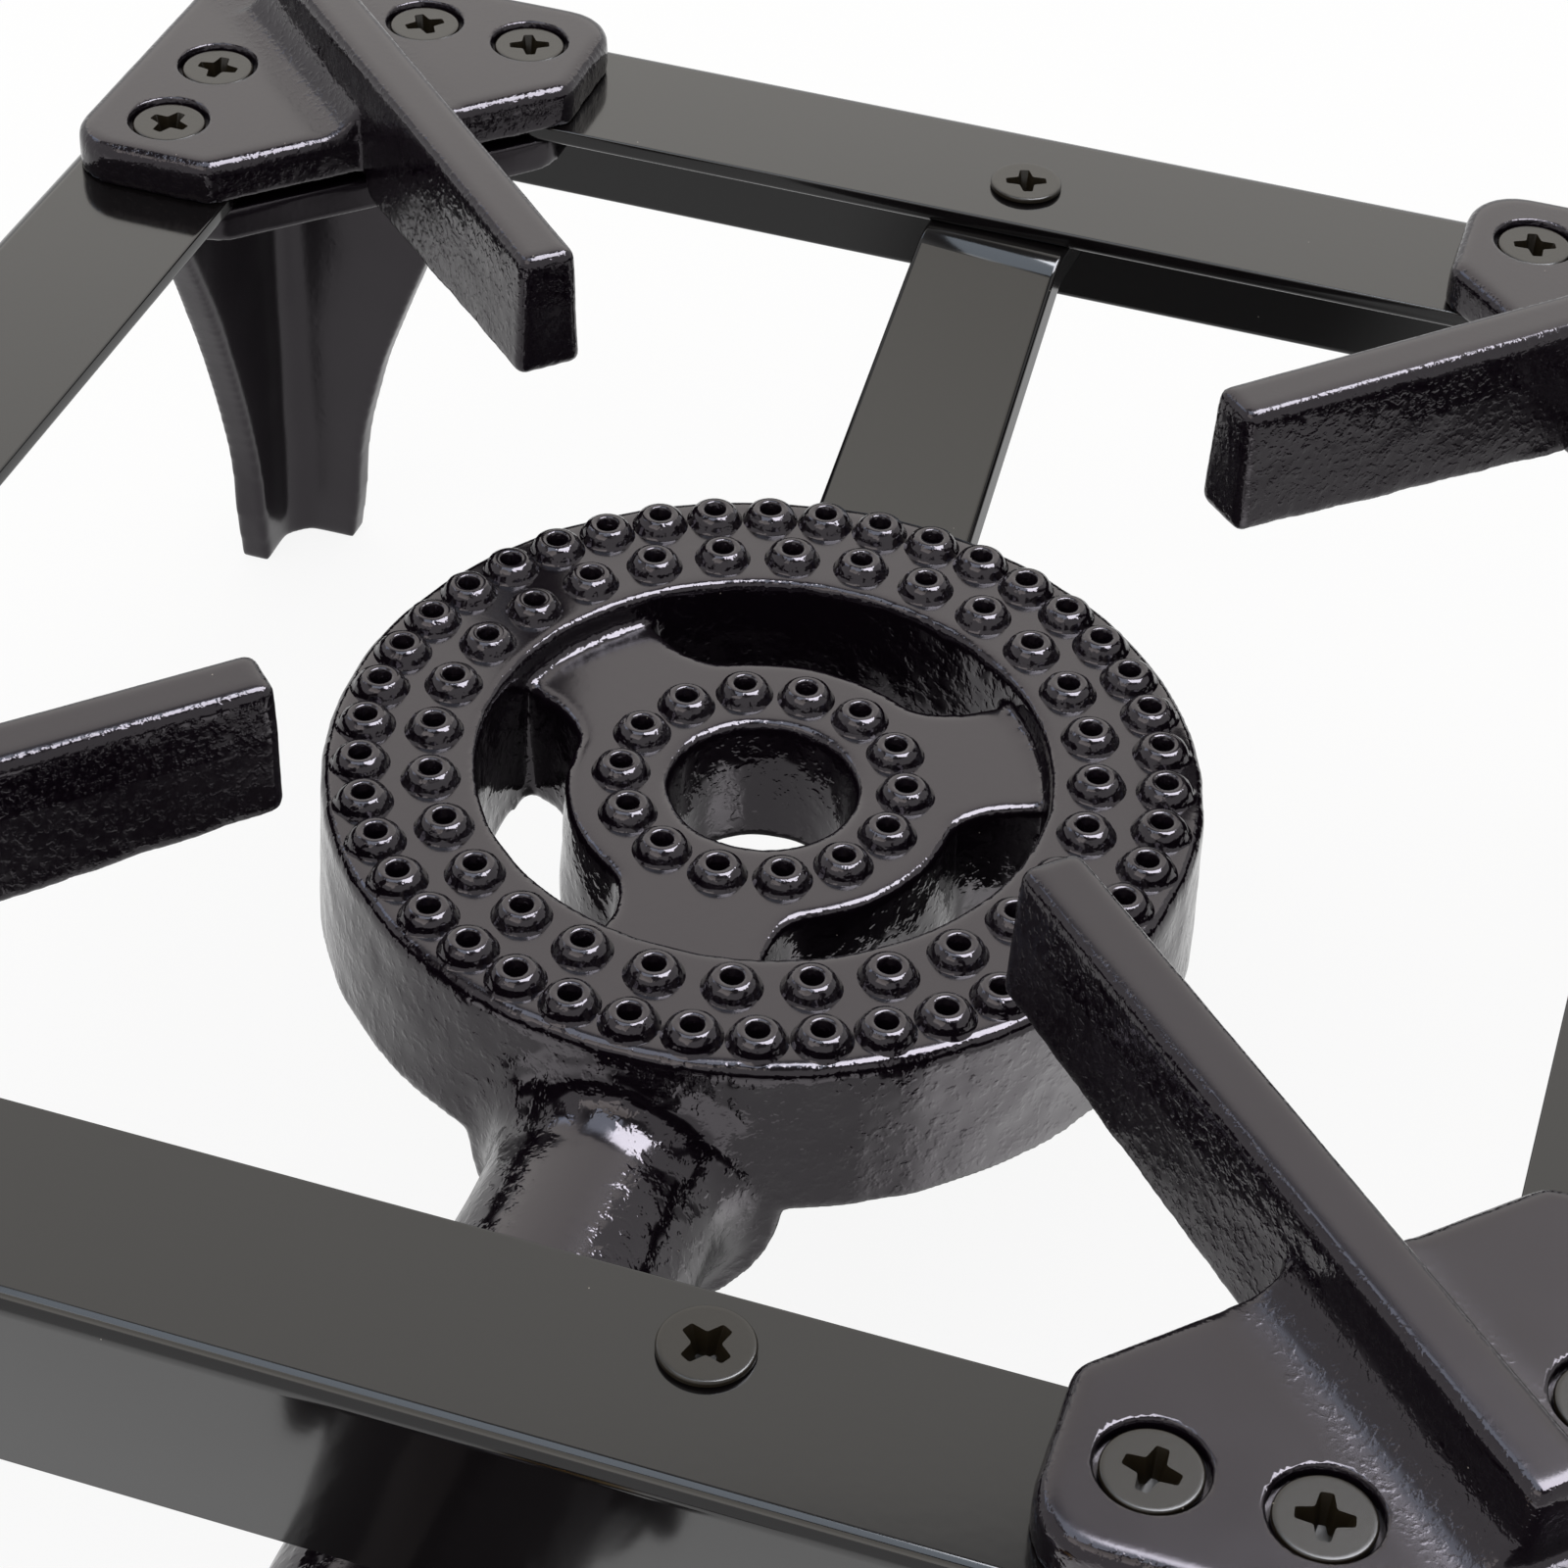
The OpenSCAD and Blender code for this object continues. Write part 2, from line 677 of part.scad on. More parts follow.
// Children on n evenly spaced places round a circle, one of them at the back
module round_circle(n, r) {
    for (i = [0:n - 1]) rotate(90 + 360 * i / n) translate([r, 0, 0]) children();
}

module at_ring_ports() {
    translate([0, 0, ring_top_z]) {
        round_circle(ports_outer_n, ports_outer_r) children();
        round_circle(ports_mid_n, ports_mid_r) children();
    }
}

module at_hub_ports() {
    translate([0, 0, hub_top_z]) round_circle(ports_inner_n, ports_inner_r) children();
}

module port_boss() {
    translate([0, 0, -weld]) cylinder(d1 = port_base_d, d2 = port_top_d, h = port_h + weld);
}

module port_hole() {
    translate([0, 0, -wall_t - cut]) cylinder(d = port_hole_d, h = wall_t + port_h + 2 * cut);
}

back_screw = [back_screw_x, half - back_screw_in];
back_bolt = [back_bolt_x, sqrt(pow(bolt_circle_r, 2) - pow(back_bolt_x, 2))];
front_screw = [front_screw_x, front_screw_in - half];
front_bolt = [0, front_screw[1]];

module at_back_bolt() { translate([back_bolt[0], back_bolt[1], ring_z]) children(); }
module at_front_bolt() { translate([front_bolt[0], front_bolt[1], lug_z]) children(); }

// The threaded hole of a burner bolt, and the boss round it
module bolt_hole() {
    translate([0, 0, -cut]) cylinder(r = screw_d / 2 + thread_gap, h = bolt_grip + cut);
}
module bolt_boss(h) { cylinder(r = screw_d / 2 + bolt_boss_wall, h = h); }

// The solid ring, before its chamber and its holes are cut
module ring_turned() {
    top = ring_r - ring_draft;
    rotate_extrude() polygon([
        [ring_inner_r, ring_z], [ring_r, ring_z], [top, ring_top_z - ring_edge_r],
        each arc([top - ring_edge_r, ring_top_z - ring_edge_r], ring_edge_r, 0, 90, arc_steps),
        [ring_inner_r, ring_top_z]
    ]);
}

// The solid hub with its three spokes, which end on the ring's inner wall
module hub_star() {
    past_wall = (ring_inner_r + cut) / cos(spoke_half_angle);
    intersection() {
        rotate_extrude() translate([hub_bore_d / 2, ring_z])
            square([ring_inner_r - hub_bore_d / 2, hub_top_z - ring_z]);
        translate([0, 0, ring_z - cut]) linear_extrude(ring_h) polygon([
            for (a = openings) each [
                for (t = [-opening_half_angle:1:opening_half_angle])
                    opening_r(t) * [cos(a + t), sin(a + t)],
                for (t = [opening_half_angle, opening_half_angle + 2 * spoke_half_angle])
                    past_wall * [cos(a + t), sin(a + t)]
            ]
        ]);
    }
}

// The gas chamber in the ring, the one in the hub, and the ways through the spokes
module ring_chamber() {
    rotate_extrude() translate([ring_inner_r + wall_t, ring_z + wall_t])
        square([ring_r - ring_draft - ring_inner_r - 2 * wall_t, ring_h - 2 * wall_t]);
}
module hub_chamber() {
    rotate_extrude() translate([hub_bore_d / 2 + wall_t, ring_z + wall_t])
        square([hub_r - hub_bore_d / 2 - 2 * wall_t, ring_h - hub_step - 2 * wall_t]);
}
module spoke_ways() {
    // They start in the hub's chamber and end in the ring's
    start = hub_r - 2 * wall_t;
    for (a = spokes) rotate(a) translate([start, 0, (ring_z + hub_top_z) / 2])
        rotate([0, 90, 0]) cylinder(d = passage_d, h = ring_inner_r + 2 * wall_t - start);
}

// The mixing tube and its bell, and their bore, drawn along +Z from the ring
module tube_outside() {
    rotate_extrude() polygon([
        each arc([0, 0], tube_d / 2, -90, 0, arc_steps),
        each bell_curve(tube_d / 2, bell_d / 2),
        [bell_d / 2, tube_l], [0, tube_l]
    ]);
}
module tube_bore() {
    lip_r = bell_d / 2 - bell_wall;
    rotate_extrude() polygon([
        each arc([0, 0], tube_bore_d / 2, -90, 0, arc_steps),
        each bell_curve(tube_bore_d / 2, lip_r),
        [lip_r, tube_l + cut], [0, tube_l + cut]
    ]);
}
tube_start_y = -(ring_inner_r + tube_d / 2);
tube_l = tube_start_y - mouth_y;
function bell_curve(r0, r1) =
    [for (i = [0:arc_steps])
        let (a = 90 * i / arc_steps)
        [r0 + (r1 - r0) * (1 - cos(a)), tube_l - bell_l + (bell_l - bell_lip) * sin(a)]];

// The bridge in front of the bell that carries the injector holder
module bridge() {
    for (s = [-1, 1]) {
        translate([s > 0 ? arm_x : -arm_x - arm_t, bridge_y - bridge_t, axis_z - arm_h / 2])
            cube([arm_t, bridge_reach + bridge_t + arm_lap, arm_h]);
    }
    translate([-arm_x - arm_t / 2, bridge_y - bridge_t, axis_z - arm_h / 2])
        cube([2 * arm_x + arm_t, bridge_t, arm_h]);
    forwards(boss_back_y) cylinder(d = holder_d + 2 * boss_wall, h = boss_back_y - boss_front_y);
}

// The solid wall round an opening of radius r_in. It is narrower at its top, beside the
// plate that the ports stand on.
module inner_wall(r_in, top_z) {
    rotate_extrude() polygon([
        [r_in, ring_z], [r_in + wall_t, ring_z], [r_in + wall_t, top_z - wall_t],
        [r_in + wall_lip, top_z - wall_t], [r_in + wall_lip, top_z], [r_in, top_z]
    ]);
}

// The burner is one casting. Its ring, its hub with the spokes, their inner walls, its mixing
// tube and its bridge are nodes that meet face to face, so that its openings stay open.
module burner_ring() {
    color("#171618") placed() difference() {
        union() {
            ring_turned();
            at_ring_ports() port_boss();
        }
        difference() {
            union() {
                ring_chamber();
                spoke_ways();
                forwards(tube_start_y) tube_bore();
            }
            at_back_bolt() bolt_boss(bolt_grip + bolt_boss_wall);
        }
        inner_wall(ring_inner_r, ring_top_z);
        at_ring_ports() port_hole();
        at_back_bolt() bolt_hole();
    }
}

module ring_inner_wall() {
    color("#171618") placed() difference() {
        inner_wall(ring_inner_r, ring_top_z);
        spoke_ways();
    }
}

module burner_hub() {
    color("#171618") placed() difference() {
        union() {
            hub_star();
            at_hub_ports() port_boss();
        }
        inner_wall(hub_bore_d / 2, hub_top_z);
        hub_chamber();
        spoke_ways();
        at_hub_ports() port_hole();
    }
}

module hub_inner_wall() {
    color("#171618") placed() inner_wall(hub_bore_d / 2, hub_top_z);
}

// The mixing tube meets the ring's outer wall and underside. The front strap holds its lug.
module mixing_tube() {
    color("#171618") placed() difference() {
        union() {
            forwards(tube_start_y) tube_outside();
            at_front_bolt() bolt_boss(lug_h + tube_d / 2);
        }
        forwards(tube_start_y) tube_bore();
        at_front_bolt() bolt_hole();
        ring_turned();
    }
}

module injector_bridge() {
    color("#171618") placed() difference() {
        bridge();
        forwards(tube_start_y) tube_outside();
        forwards(boss_back_y + cut)
            cylinder(r = holder_d / 2 + hole_gap, h = boss_back_y - boss_front_y + 2 * cut);
    }
}

// A strap from the rail screw at the origin along +X to the bolt at distance l, drawn from
// its upper bend to its lower one, with its lower end at height low_z
module strap(l, bend, low_bend, low_z, w_rail, w_end) {
    drop = flange_z - low_z;
    lean = strap_t * tan(atan2(drop, low_bend - bend) / 2);
    far = l + strap_end;
    difference() {
        intersection() {
            translate([0, w_end, 0]) rotate([90, 0, 0]) linear_extrude(2 * w_end)
                polygon([
                    [-strap_end, flange_z], [bend, flange_z], [low_bend, low_z], [far, low_z],
                    [far, low_z - strap_t], [low_bend - lean, low_z - strap_t],
                    [bend - lean, flange_z - strap_t], [-strap_end, flange_z - strap_t]
                ]);
            translate([0, 0, low_z - 2 * strap_t]) linear_extrude(drop + 3 * strap_t)
                polygon([
                    [-strap_end, -w_rail / 2], [far, -w_end / 2], [far, w_end / 2], [-strap_end, w_rail / 2]
                ]);
        }
        translate([0, 0, flange_z - strap_t - cut])
            cylinder(r = screw_d / 2 + hole_gap, h = strap_t + 2 * cut);
        translate([l, 0, low_z - strap_t - cut])
            cylinder(r = screw_d / 2 + hole_gap, h = strap_t + 2 * cut);
    }
}

module burner_strap_back() {
    v = back_bolt - back_screw;
    l = norm(v);
    slant = l / abs(v[1]);
    bend = (angle_w - back_screw_in + strap_rail_gap) * slant;
    low_bend = (back_screw[1] - ring_r - strap_ring_gap) * slant;
    color("#504d4b") placed() translate([back_screw[0], back_screw[1], 0]) rotate(atan2(v[1], v[0]))
        strap(l, bend, low_bend, ring_z, strap_w_rail, strap_w_back);
}

// The front strap runs crossways: down beside the mixing tube and in under its lug
module burner_strap_front() {
    bend = front_screw_x - tube_d / 2 - strap_tube_gap;
    color("#504d4b") placed() translate([front_screw[0], front_screw[1], 0]) rotate(180)
        strap(front_screw_x, bend, bend, lug_z, strap_w_front, strap_w_front);
}

module at_strap_screws() {
    for (p = [back_screw, front_screw]) placed() translate([p[0], p[1], 0]) children();
}

module strap_screws() {
    color("#3b382f") at_strap_screws() translate([0, 0, frame_h + strap_head_proud])
        screw(strap_head_proud + angle_t + strap_t + nut_t + screw_tail);
}

module strap_nuts() {
    color("#3b382f") at_strap_screws() translate([0, 0, flange_z - strap_t - nut_t])
        nut(nut_af, nut_t, screw_d);
}

module burner_bolts() {
    color("#3b382f") placed() {
        at_back_bolt() bolt();
        at_front_bolt() bolt();
    }
}

module bolt() {
    translate([0, 0, -strap_t - bolt_head_t]) hexagon(nut_af, bolt_head_t);
    translate([0, 0, -strap_t - weld])
        cylinder(d = screw_d, h = strap_t + bolt_grip - bolt_end_gap + weld);
}

// The holder screws through the bridge and carries the injector at its inner end
module injector_holder() {
    l = holder_end_y - boss_front_y;
    color("#b08d45") placed() difference() {
        union() {
            forwards(holder_end_y) cylinder(d = holder_d, h = l + weld);
            forwards(boss_front_y) hexagon(hex_af, holder_hex_l);
        }
        forwards(holder_end_y + cut) cylinder(d = gas_way_d, h = l + holder_hex_l + 2 * cut);
        forwards(hex_y + socket_l) cylinder(r = spigot_d / 2 + thread_gap, h = socket_l + cut);
    }
}

module holder_lock_nut() {
    color("#b08d45") placed() forwards(boss_back_y + lock_nut_t) nut(hex_af, lock_nut_t, holder_d);
}

// The injector: a drilled cone, a hexagon, and a stem inside the holder
module injector() {
    tip_y = holder_end_y + injector_l;
    stem_d = gas_way_d - 2 * thread_gap;
    way_l = injector_l + injector_stem_l - jet_l;
    color("#c9a65a") placed() difference() {
        union() {
            forwards(tip_y)
                cylinder(d1 = injector_tip_d, d2 = injector_cone_d, h = injector_l - injector_hex_l);
            forwards(holder_end_y + injector_hex_l) hexagon(injector_af, injector_hex_l);
            forwards(holder_end_y + weld) cylinder(d = stem_d, h = injector_stem_l + weld);
        }
        forwards(tip_y + cut) cylinder(d = jet_d, h = jet_l + 2 * cut);
        forwards(tip_y - jet_l) cylinder(d = stem_d - 2 * injector_wall, h = way_l + cut);
    }
}

// The air shutter turns on the holder's thread and so moves along the gas axis
module air_shutter() {
    color("#8f8a80") placed() difference() {
        union() {
            forwards(shutter_y) cylinder(d = shutter_d, h = shutter_t);
            forwards(shutter_y) cylinder(d = shutter_boss_d, h = shutter_l);
        }
        forwards(shutter_y + cut) cylinder(r = holder_d / 2 + run_gap, h = shutter_l + 2 * cut);
    }
}

// The tap's body: an upright barrel between an outlet spigot and an inlet boss
module tap_body() {
    inlet_l = nozzle_spigot_l + spigot_gap;
    color("#b5924c") placed() difference() {
        union() {
            translate([0, tap_y, plug_low_z]) cylinder(d = barrel_d, h = barrel_h);
            forwards(hex_y + spigot_l) cylinder(d = spigot_d, h = spigot_l + tap_reach);
            forwards(hex_y) hexagon(hex_af, tap_hex_l);
            forwards(tap_y) hexagon(hex_af, tap_y - nozzle_y);
        }
        forwards(hex_y + spigot_l + cut)
            cylinder(d = gas_way_d, h = hex_y + spigot_l - nozzle_y + 2 * cut);
        forwards(nozzle_y + inlet_l) cylinder(r = nozzle_spigot_d / 2 + thread_gap, h = inlet_l + cut);
        translate([0, tap_y, plug_low_z - cut])
            cylinder(r = plug_d / 2 + run_gap, h = barrel_h + 2 * cut);
    }
}

// The plug, crossways when the tap is shut, with its spindle above and its stud below
module tap_plug() {
    stud_z = plug_nut_z - stud_tail;
    color("#a98743") placed() translate([0, tap_y, 0]) difference() {
        union() {
            translate([0, 0, plug_low_z]) cylinder(d = plug_d, h = barrel_h);
            translate([0, 0, plug_top_z - weld])
                cylinder(d = spindle_d, h = handle_lift + spindle_l + weld);
            translate([0, 0, stud_z]) cylinder(d = stud_d, h = plug_low_z - stud_z + weld);
        }
        translate([0, 0, axis_z]) rotate([0, 90, 0])
            cylinder(d = gas_way_d, h = plug_d + 2 * cut, center = true);
        translate([0, 0, handle_thread_z - spigot_gap])
            cylinder(r = handle_screw_d / 2 + thread_gap, h = handle_screw_l + spigot_gap + cut);
    }
}

module plug_washer() {
    color("#b9b6ae") placed() translate([0, tap_y, washer_z]) difference() {
        cylinder(d = plug_d + 2 * washer_lap, h = washer_t);
        translate([0, 0, -cut]) cylinder(r = stud_d / 2 + hole_gap, h = washer_t + 2 * cut);
    }
}

// One unbroken coil of round wire, as rings of 6 points along its helix
module plug_spring() {
    r = (spring_d - spring_wire) / 2;
    q = spring_wire / 2;
    rings = 16 * spring_turns;
    rise = spring_l - spring_wire;
    function ring_point(i, k) =
        let (a = 360 * spring_turns * i / rings, b = 60 * k)
        [(r + q * cos(b)) * cos(a), (r + q * cos(b)) * sin(a), rise * i / rings + q + q * sin(b)];
    color("#9d9a92") placed() translate([0, tap_y, spring_z]) polyhedron(
        points = [for (i = [0:rings], k = [0:5]) ring_point(i, k)],
        faces = [
            for (i = [0:rings - 1], k = [0:5]) let (n = (k + 1) % 6)
                each [[6 * i + k, 6 * i + 6 + k, 6 * i + 6 + n], [6 * i + k, 6 * i + 6 + n, 6 * i + n]],
            for (k = [1:4]) each [[0, k, k + 1], [6 * rings, 6 * rings + k + 1, 6 * rings + k]]
        ]
    );
}

module plug_nut() {
    color("#b9b6ae") placed() translate([0, tap_y, plug_nut_z]) nut(plug_nut_af, plug_nut_t, stud_d);
}

module tap_handle() {
    bar_l = lever_l - lever_w / 2;
    color("#1f1e20") placed() translate([0, tap_y, handle_z]) difference() {
        union() {
            cylinder(d = handle_hub_d, h = handle_hub_h);
            translate([0, 0, (handle_hub_h - lever_t) / 2]) {
                translate([0, -lever_w / 2, 0]) cube([bar_l, lever_w, lever_t]);
                translate([bar_l, 0, 0]) cylinder(d = lever_w, h = lever_t);
            }
        }
        translate([0, 0, -cut]) cylinder(r = spindle_d / 2 + thread_gap, h = spindle_l + cut);
        cylinder(r = handle_screw_d / 2 + hole_gap, h = handle_hub_h + cut);
    }
}

module handle_screw() {
    shank_l = handle_top_z - handle_thread_z;
    color("#b9b6ae") placed() translate([0, tap_y, handle_top_z]) difference() {
        union() {
            cylinder(d = handle_screw_head_d, h = handle_screw_head_t);
            translate([0, 0, -shank_l]) cylinder(d = handle_screw_d, h = shank_l + weld);
        }
        translate([-handle_screw_head_d, -slot_w / 2, handle_screw_head_t - slot_depth])
            cube([2 * handle_screw_head_d, slot_w, slot_depth + cut]);
    }
}

// The hose nozzle: a hexagon, a thread into the tap, and a row of barbs
module hose_nozzle() {
    barbs_z = nozzle_hex_l + barb_lead;
    color("#b5924c") placed() forwards(nozzle_y) difference() {
        union() {
            translate([0, 0, -nozzle_spigot_l]) cylinder(d = nozzle_spigot_d, h = nozzle_spigot_l + weld);
            hexagon(nozzle_hex_af, nozzle_hex_l);
            translate([0, 0, nozzle_hex_l - weld])
                cylinder(d = hose_stem_d, h = nozzle_l - nozzle_hex_l + weld);
            for (i = [0:hose_barbs - 1]) translate([0, 0, barbs_z + i * barb_pitch])
                cylinder(d1 = hose_barb_d, d2 = hose_stem_d, h = barb_l);
        }
        translate([0, 0, -nozzle_spigot_l - cut])
            cylinder(d = nozzle_bore_d, h = nozzle_spigot_l + nozzle_l + 2 * cut);
    }
}

rail_front();
rail_right();
rail_back();
rail_left();
pan_support_front_left();
pan_support_front_right();
pan_support_back_right();
pan_support_back_left();
leg_front_left();
leg_front_right();
leg_back_right();
leg_back_left();
corner_screws();
corner_nuts();
burner_ring();
ring_inner_wall();
burner_hub();
hub_inner_wall();
mixing_tube();
injector_bridge();
burner_strap_back();
burner_strap_front();
strap_screws();
strap_nuts();
burner_bolts();
injector_holder();
holder_lock_nut();
injector();
air_shutter();
tap_body();
tap_plug();
plug_washer();
plug_spring();
plug_nut();
tap_handle();
handle_screw();
hose_nozzle();
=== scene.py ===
"""The looks of a single burner cooker: its castings, rails, fittings, finishes, stage and camera.

Sizes are in millimetres, in the cooker's own frame, unless a name says otherwise. A piece is
shaped as a Workpiece, in millimetres, and is scaled to metres when it is delivered.
"""

import sys

import logging
import math
from dataclasses import dataclass
from enum import Enum
from typing import Callable, Iterable, Optional, Sequence

import bmesh
import bpy
from mathutils import Matrix, Vector, noise


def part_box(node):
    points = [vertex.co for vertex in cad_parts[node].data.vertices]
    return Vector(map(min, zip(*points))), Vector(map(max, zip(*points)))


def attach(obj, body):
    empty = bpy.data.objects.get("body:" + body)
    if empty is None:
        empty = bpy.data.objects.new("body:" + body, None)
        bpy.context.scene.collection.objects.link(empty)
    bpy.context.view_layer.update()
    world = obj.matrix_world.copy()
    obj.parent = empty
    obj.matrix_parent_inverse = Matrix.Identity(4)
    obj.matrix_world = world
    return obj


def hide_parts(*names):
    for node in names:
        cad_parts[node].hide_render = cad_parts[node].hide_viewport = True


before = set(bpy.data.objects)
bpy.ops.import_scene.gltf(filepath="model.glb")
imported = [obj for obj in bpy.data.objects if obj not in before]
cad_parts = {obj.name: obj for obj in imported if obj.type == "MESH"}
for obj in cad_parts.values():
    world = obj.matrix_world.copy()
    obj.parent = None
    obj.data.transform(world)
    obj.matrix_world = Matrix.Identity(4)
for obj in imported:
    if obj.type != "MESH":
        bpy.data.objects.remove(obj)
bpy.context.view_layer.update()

log = logging.getLogger("cooker")

METRES = 0.001
WHITE = (1.0, 1.0, 1.0, 1.0)
UP = Vector((0.0, 0.0, 1.0))
FULL_TURN = 2 * math.pi
CORNERS = ("front_left", "front_right", "back_right", "back_left")

Pair = tuple[float, float]
Triple = tuple[float, float, float]
Weight = Callable[[Vector, Vector], float]


class Slot(Enum):
    """The material slots of the record."""

    FRAME_PAINT = "frame_paint"
    BLACK_ENAMEL = "black_enamel"
    BLACKENED_STEEL = "blackened_steel"
    BRASS = "brass"
    PLATED_STEEL = "plated_steel"
    SHUTTER_METAL = "shutter_metal"
    HANDLE_PLASTIC = "handle_plastic"


class Joining(Enum):
    """How two closed shapes become one."""

    UNION = "UNION"
    DIFFERENCE = "DIFFERENCE"
    INTERSECT = "INTERSECT"


def linear(colour: str) -> tuple[float, float, float, float]:
    """Turn an sRGB colour to linear light.

    Args:
        colour: The colour as a hash and six hex digits.

    Returns:
        Red, green, blue and an alpha of 1.
    """
    channels = [int(colour[i:i + 2], 16) / 255 for i in (1, 3, 5)]
    red, green, blue = (c / 12.92 if c <= 0.04045 else ((c + 0.055) / 1.055) ** 2.4 for c in channels)
    return red, green, blue, 1.0


def add_node(
    tree: bpy.types.NodeTree,
    kind: str,
    inputs: Optional[dict] = None,
    settings: Optional[dict] = None,
) -> bpy.types.Node:
    """Add a shader node, with its settings, values and links.

    Args:
        tree: The node tree that gets the node.
        kind: The node's type.
        inputs: Values, or sockets to link, by the input's name or number.
        settings: The node's own properties.

    Returns:
        The new node.
    """
    node = tree.nodes.new(kind)
    for key, value in (settings or {}).items():
        setattr(node, key, value)
    for key, value in (inputs or {}).items():
        if isinstance(value, bpy.types.NodeSocket):
            tree.links.new(value, node.inputs[key])
        else:
            node.inputs[key].default_value = value
    return node


@dataclass(frozen=True)
class Finish:
    """A finish of the cooker's surfaces.

    Attributes:
        name: The material's name.
        slot: The record's slot that it stands for.
    """

    name: str
    slot: Slot

    def material(self) -> bpy.types.Material:
        """Make the finish's material, or find it when it is already made.

        Returns:
            The material.
        """
        made = bpy.data.materials.get(self.name)
        if made is None:
            made = bpy.data.materials.new(self.name)
            made.use_nodes = True
            made.node_tree.nodes.clear()
            surface = self.shader(made.node_tree)
            add_node(made.node_tree, "ShaderNodeOutputMaterial", {"Surface": surface.outputs[0]})
        return made

    def shader(self, tree: bpy.types.NodeTree) -> bpy.types.Node:
        """Build the finish's nodes and return its shader node."""
        raise NotImplementedError


@dataclass(frozen=True)
class Enamel(Finish):
    """Stove enamel with a few specks of dust fired into it."""

    colour: str = "#0e0c0d"
    dust: str = "#8d8780"
    ior: float = 1.46
    speck_pitch_mm: float = 8.0
    speck_mm: float = 0.16

    def specked(self, tree: bpy.types.NodeTree, place: bpy.types.NodeSocket) -> bpy.types.NodeSocket:
        """Strew the specks over the enamel's colour.

        Args:
            tree: The material's node tree.
            place: The socket of the place.

        Returns:
            The colour's socket.
        """
        specks = add_node(
            tree, "ShaderNodeTexVoronoi",
            {"Vector": place, "Scale": 1 / (self.speck_pitch_mm * METRES)},
        )
        speck = add_node(
            tree, "ShaderNodeMath",
            {0: specks.outputs["Distance"], 1: self.speck_mm / self.speck_pitch_mm},
            {"operation": "LESS_THAN"},
        )
        return add_node(
            tree, "ShaderNodeMix",
            {0: speck.outputs[0], 6: linear(self.colour), 7: linear(self.dust)},
            {"data_type": "RGBA"},
        ).outputs[2]


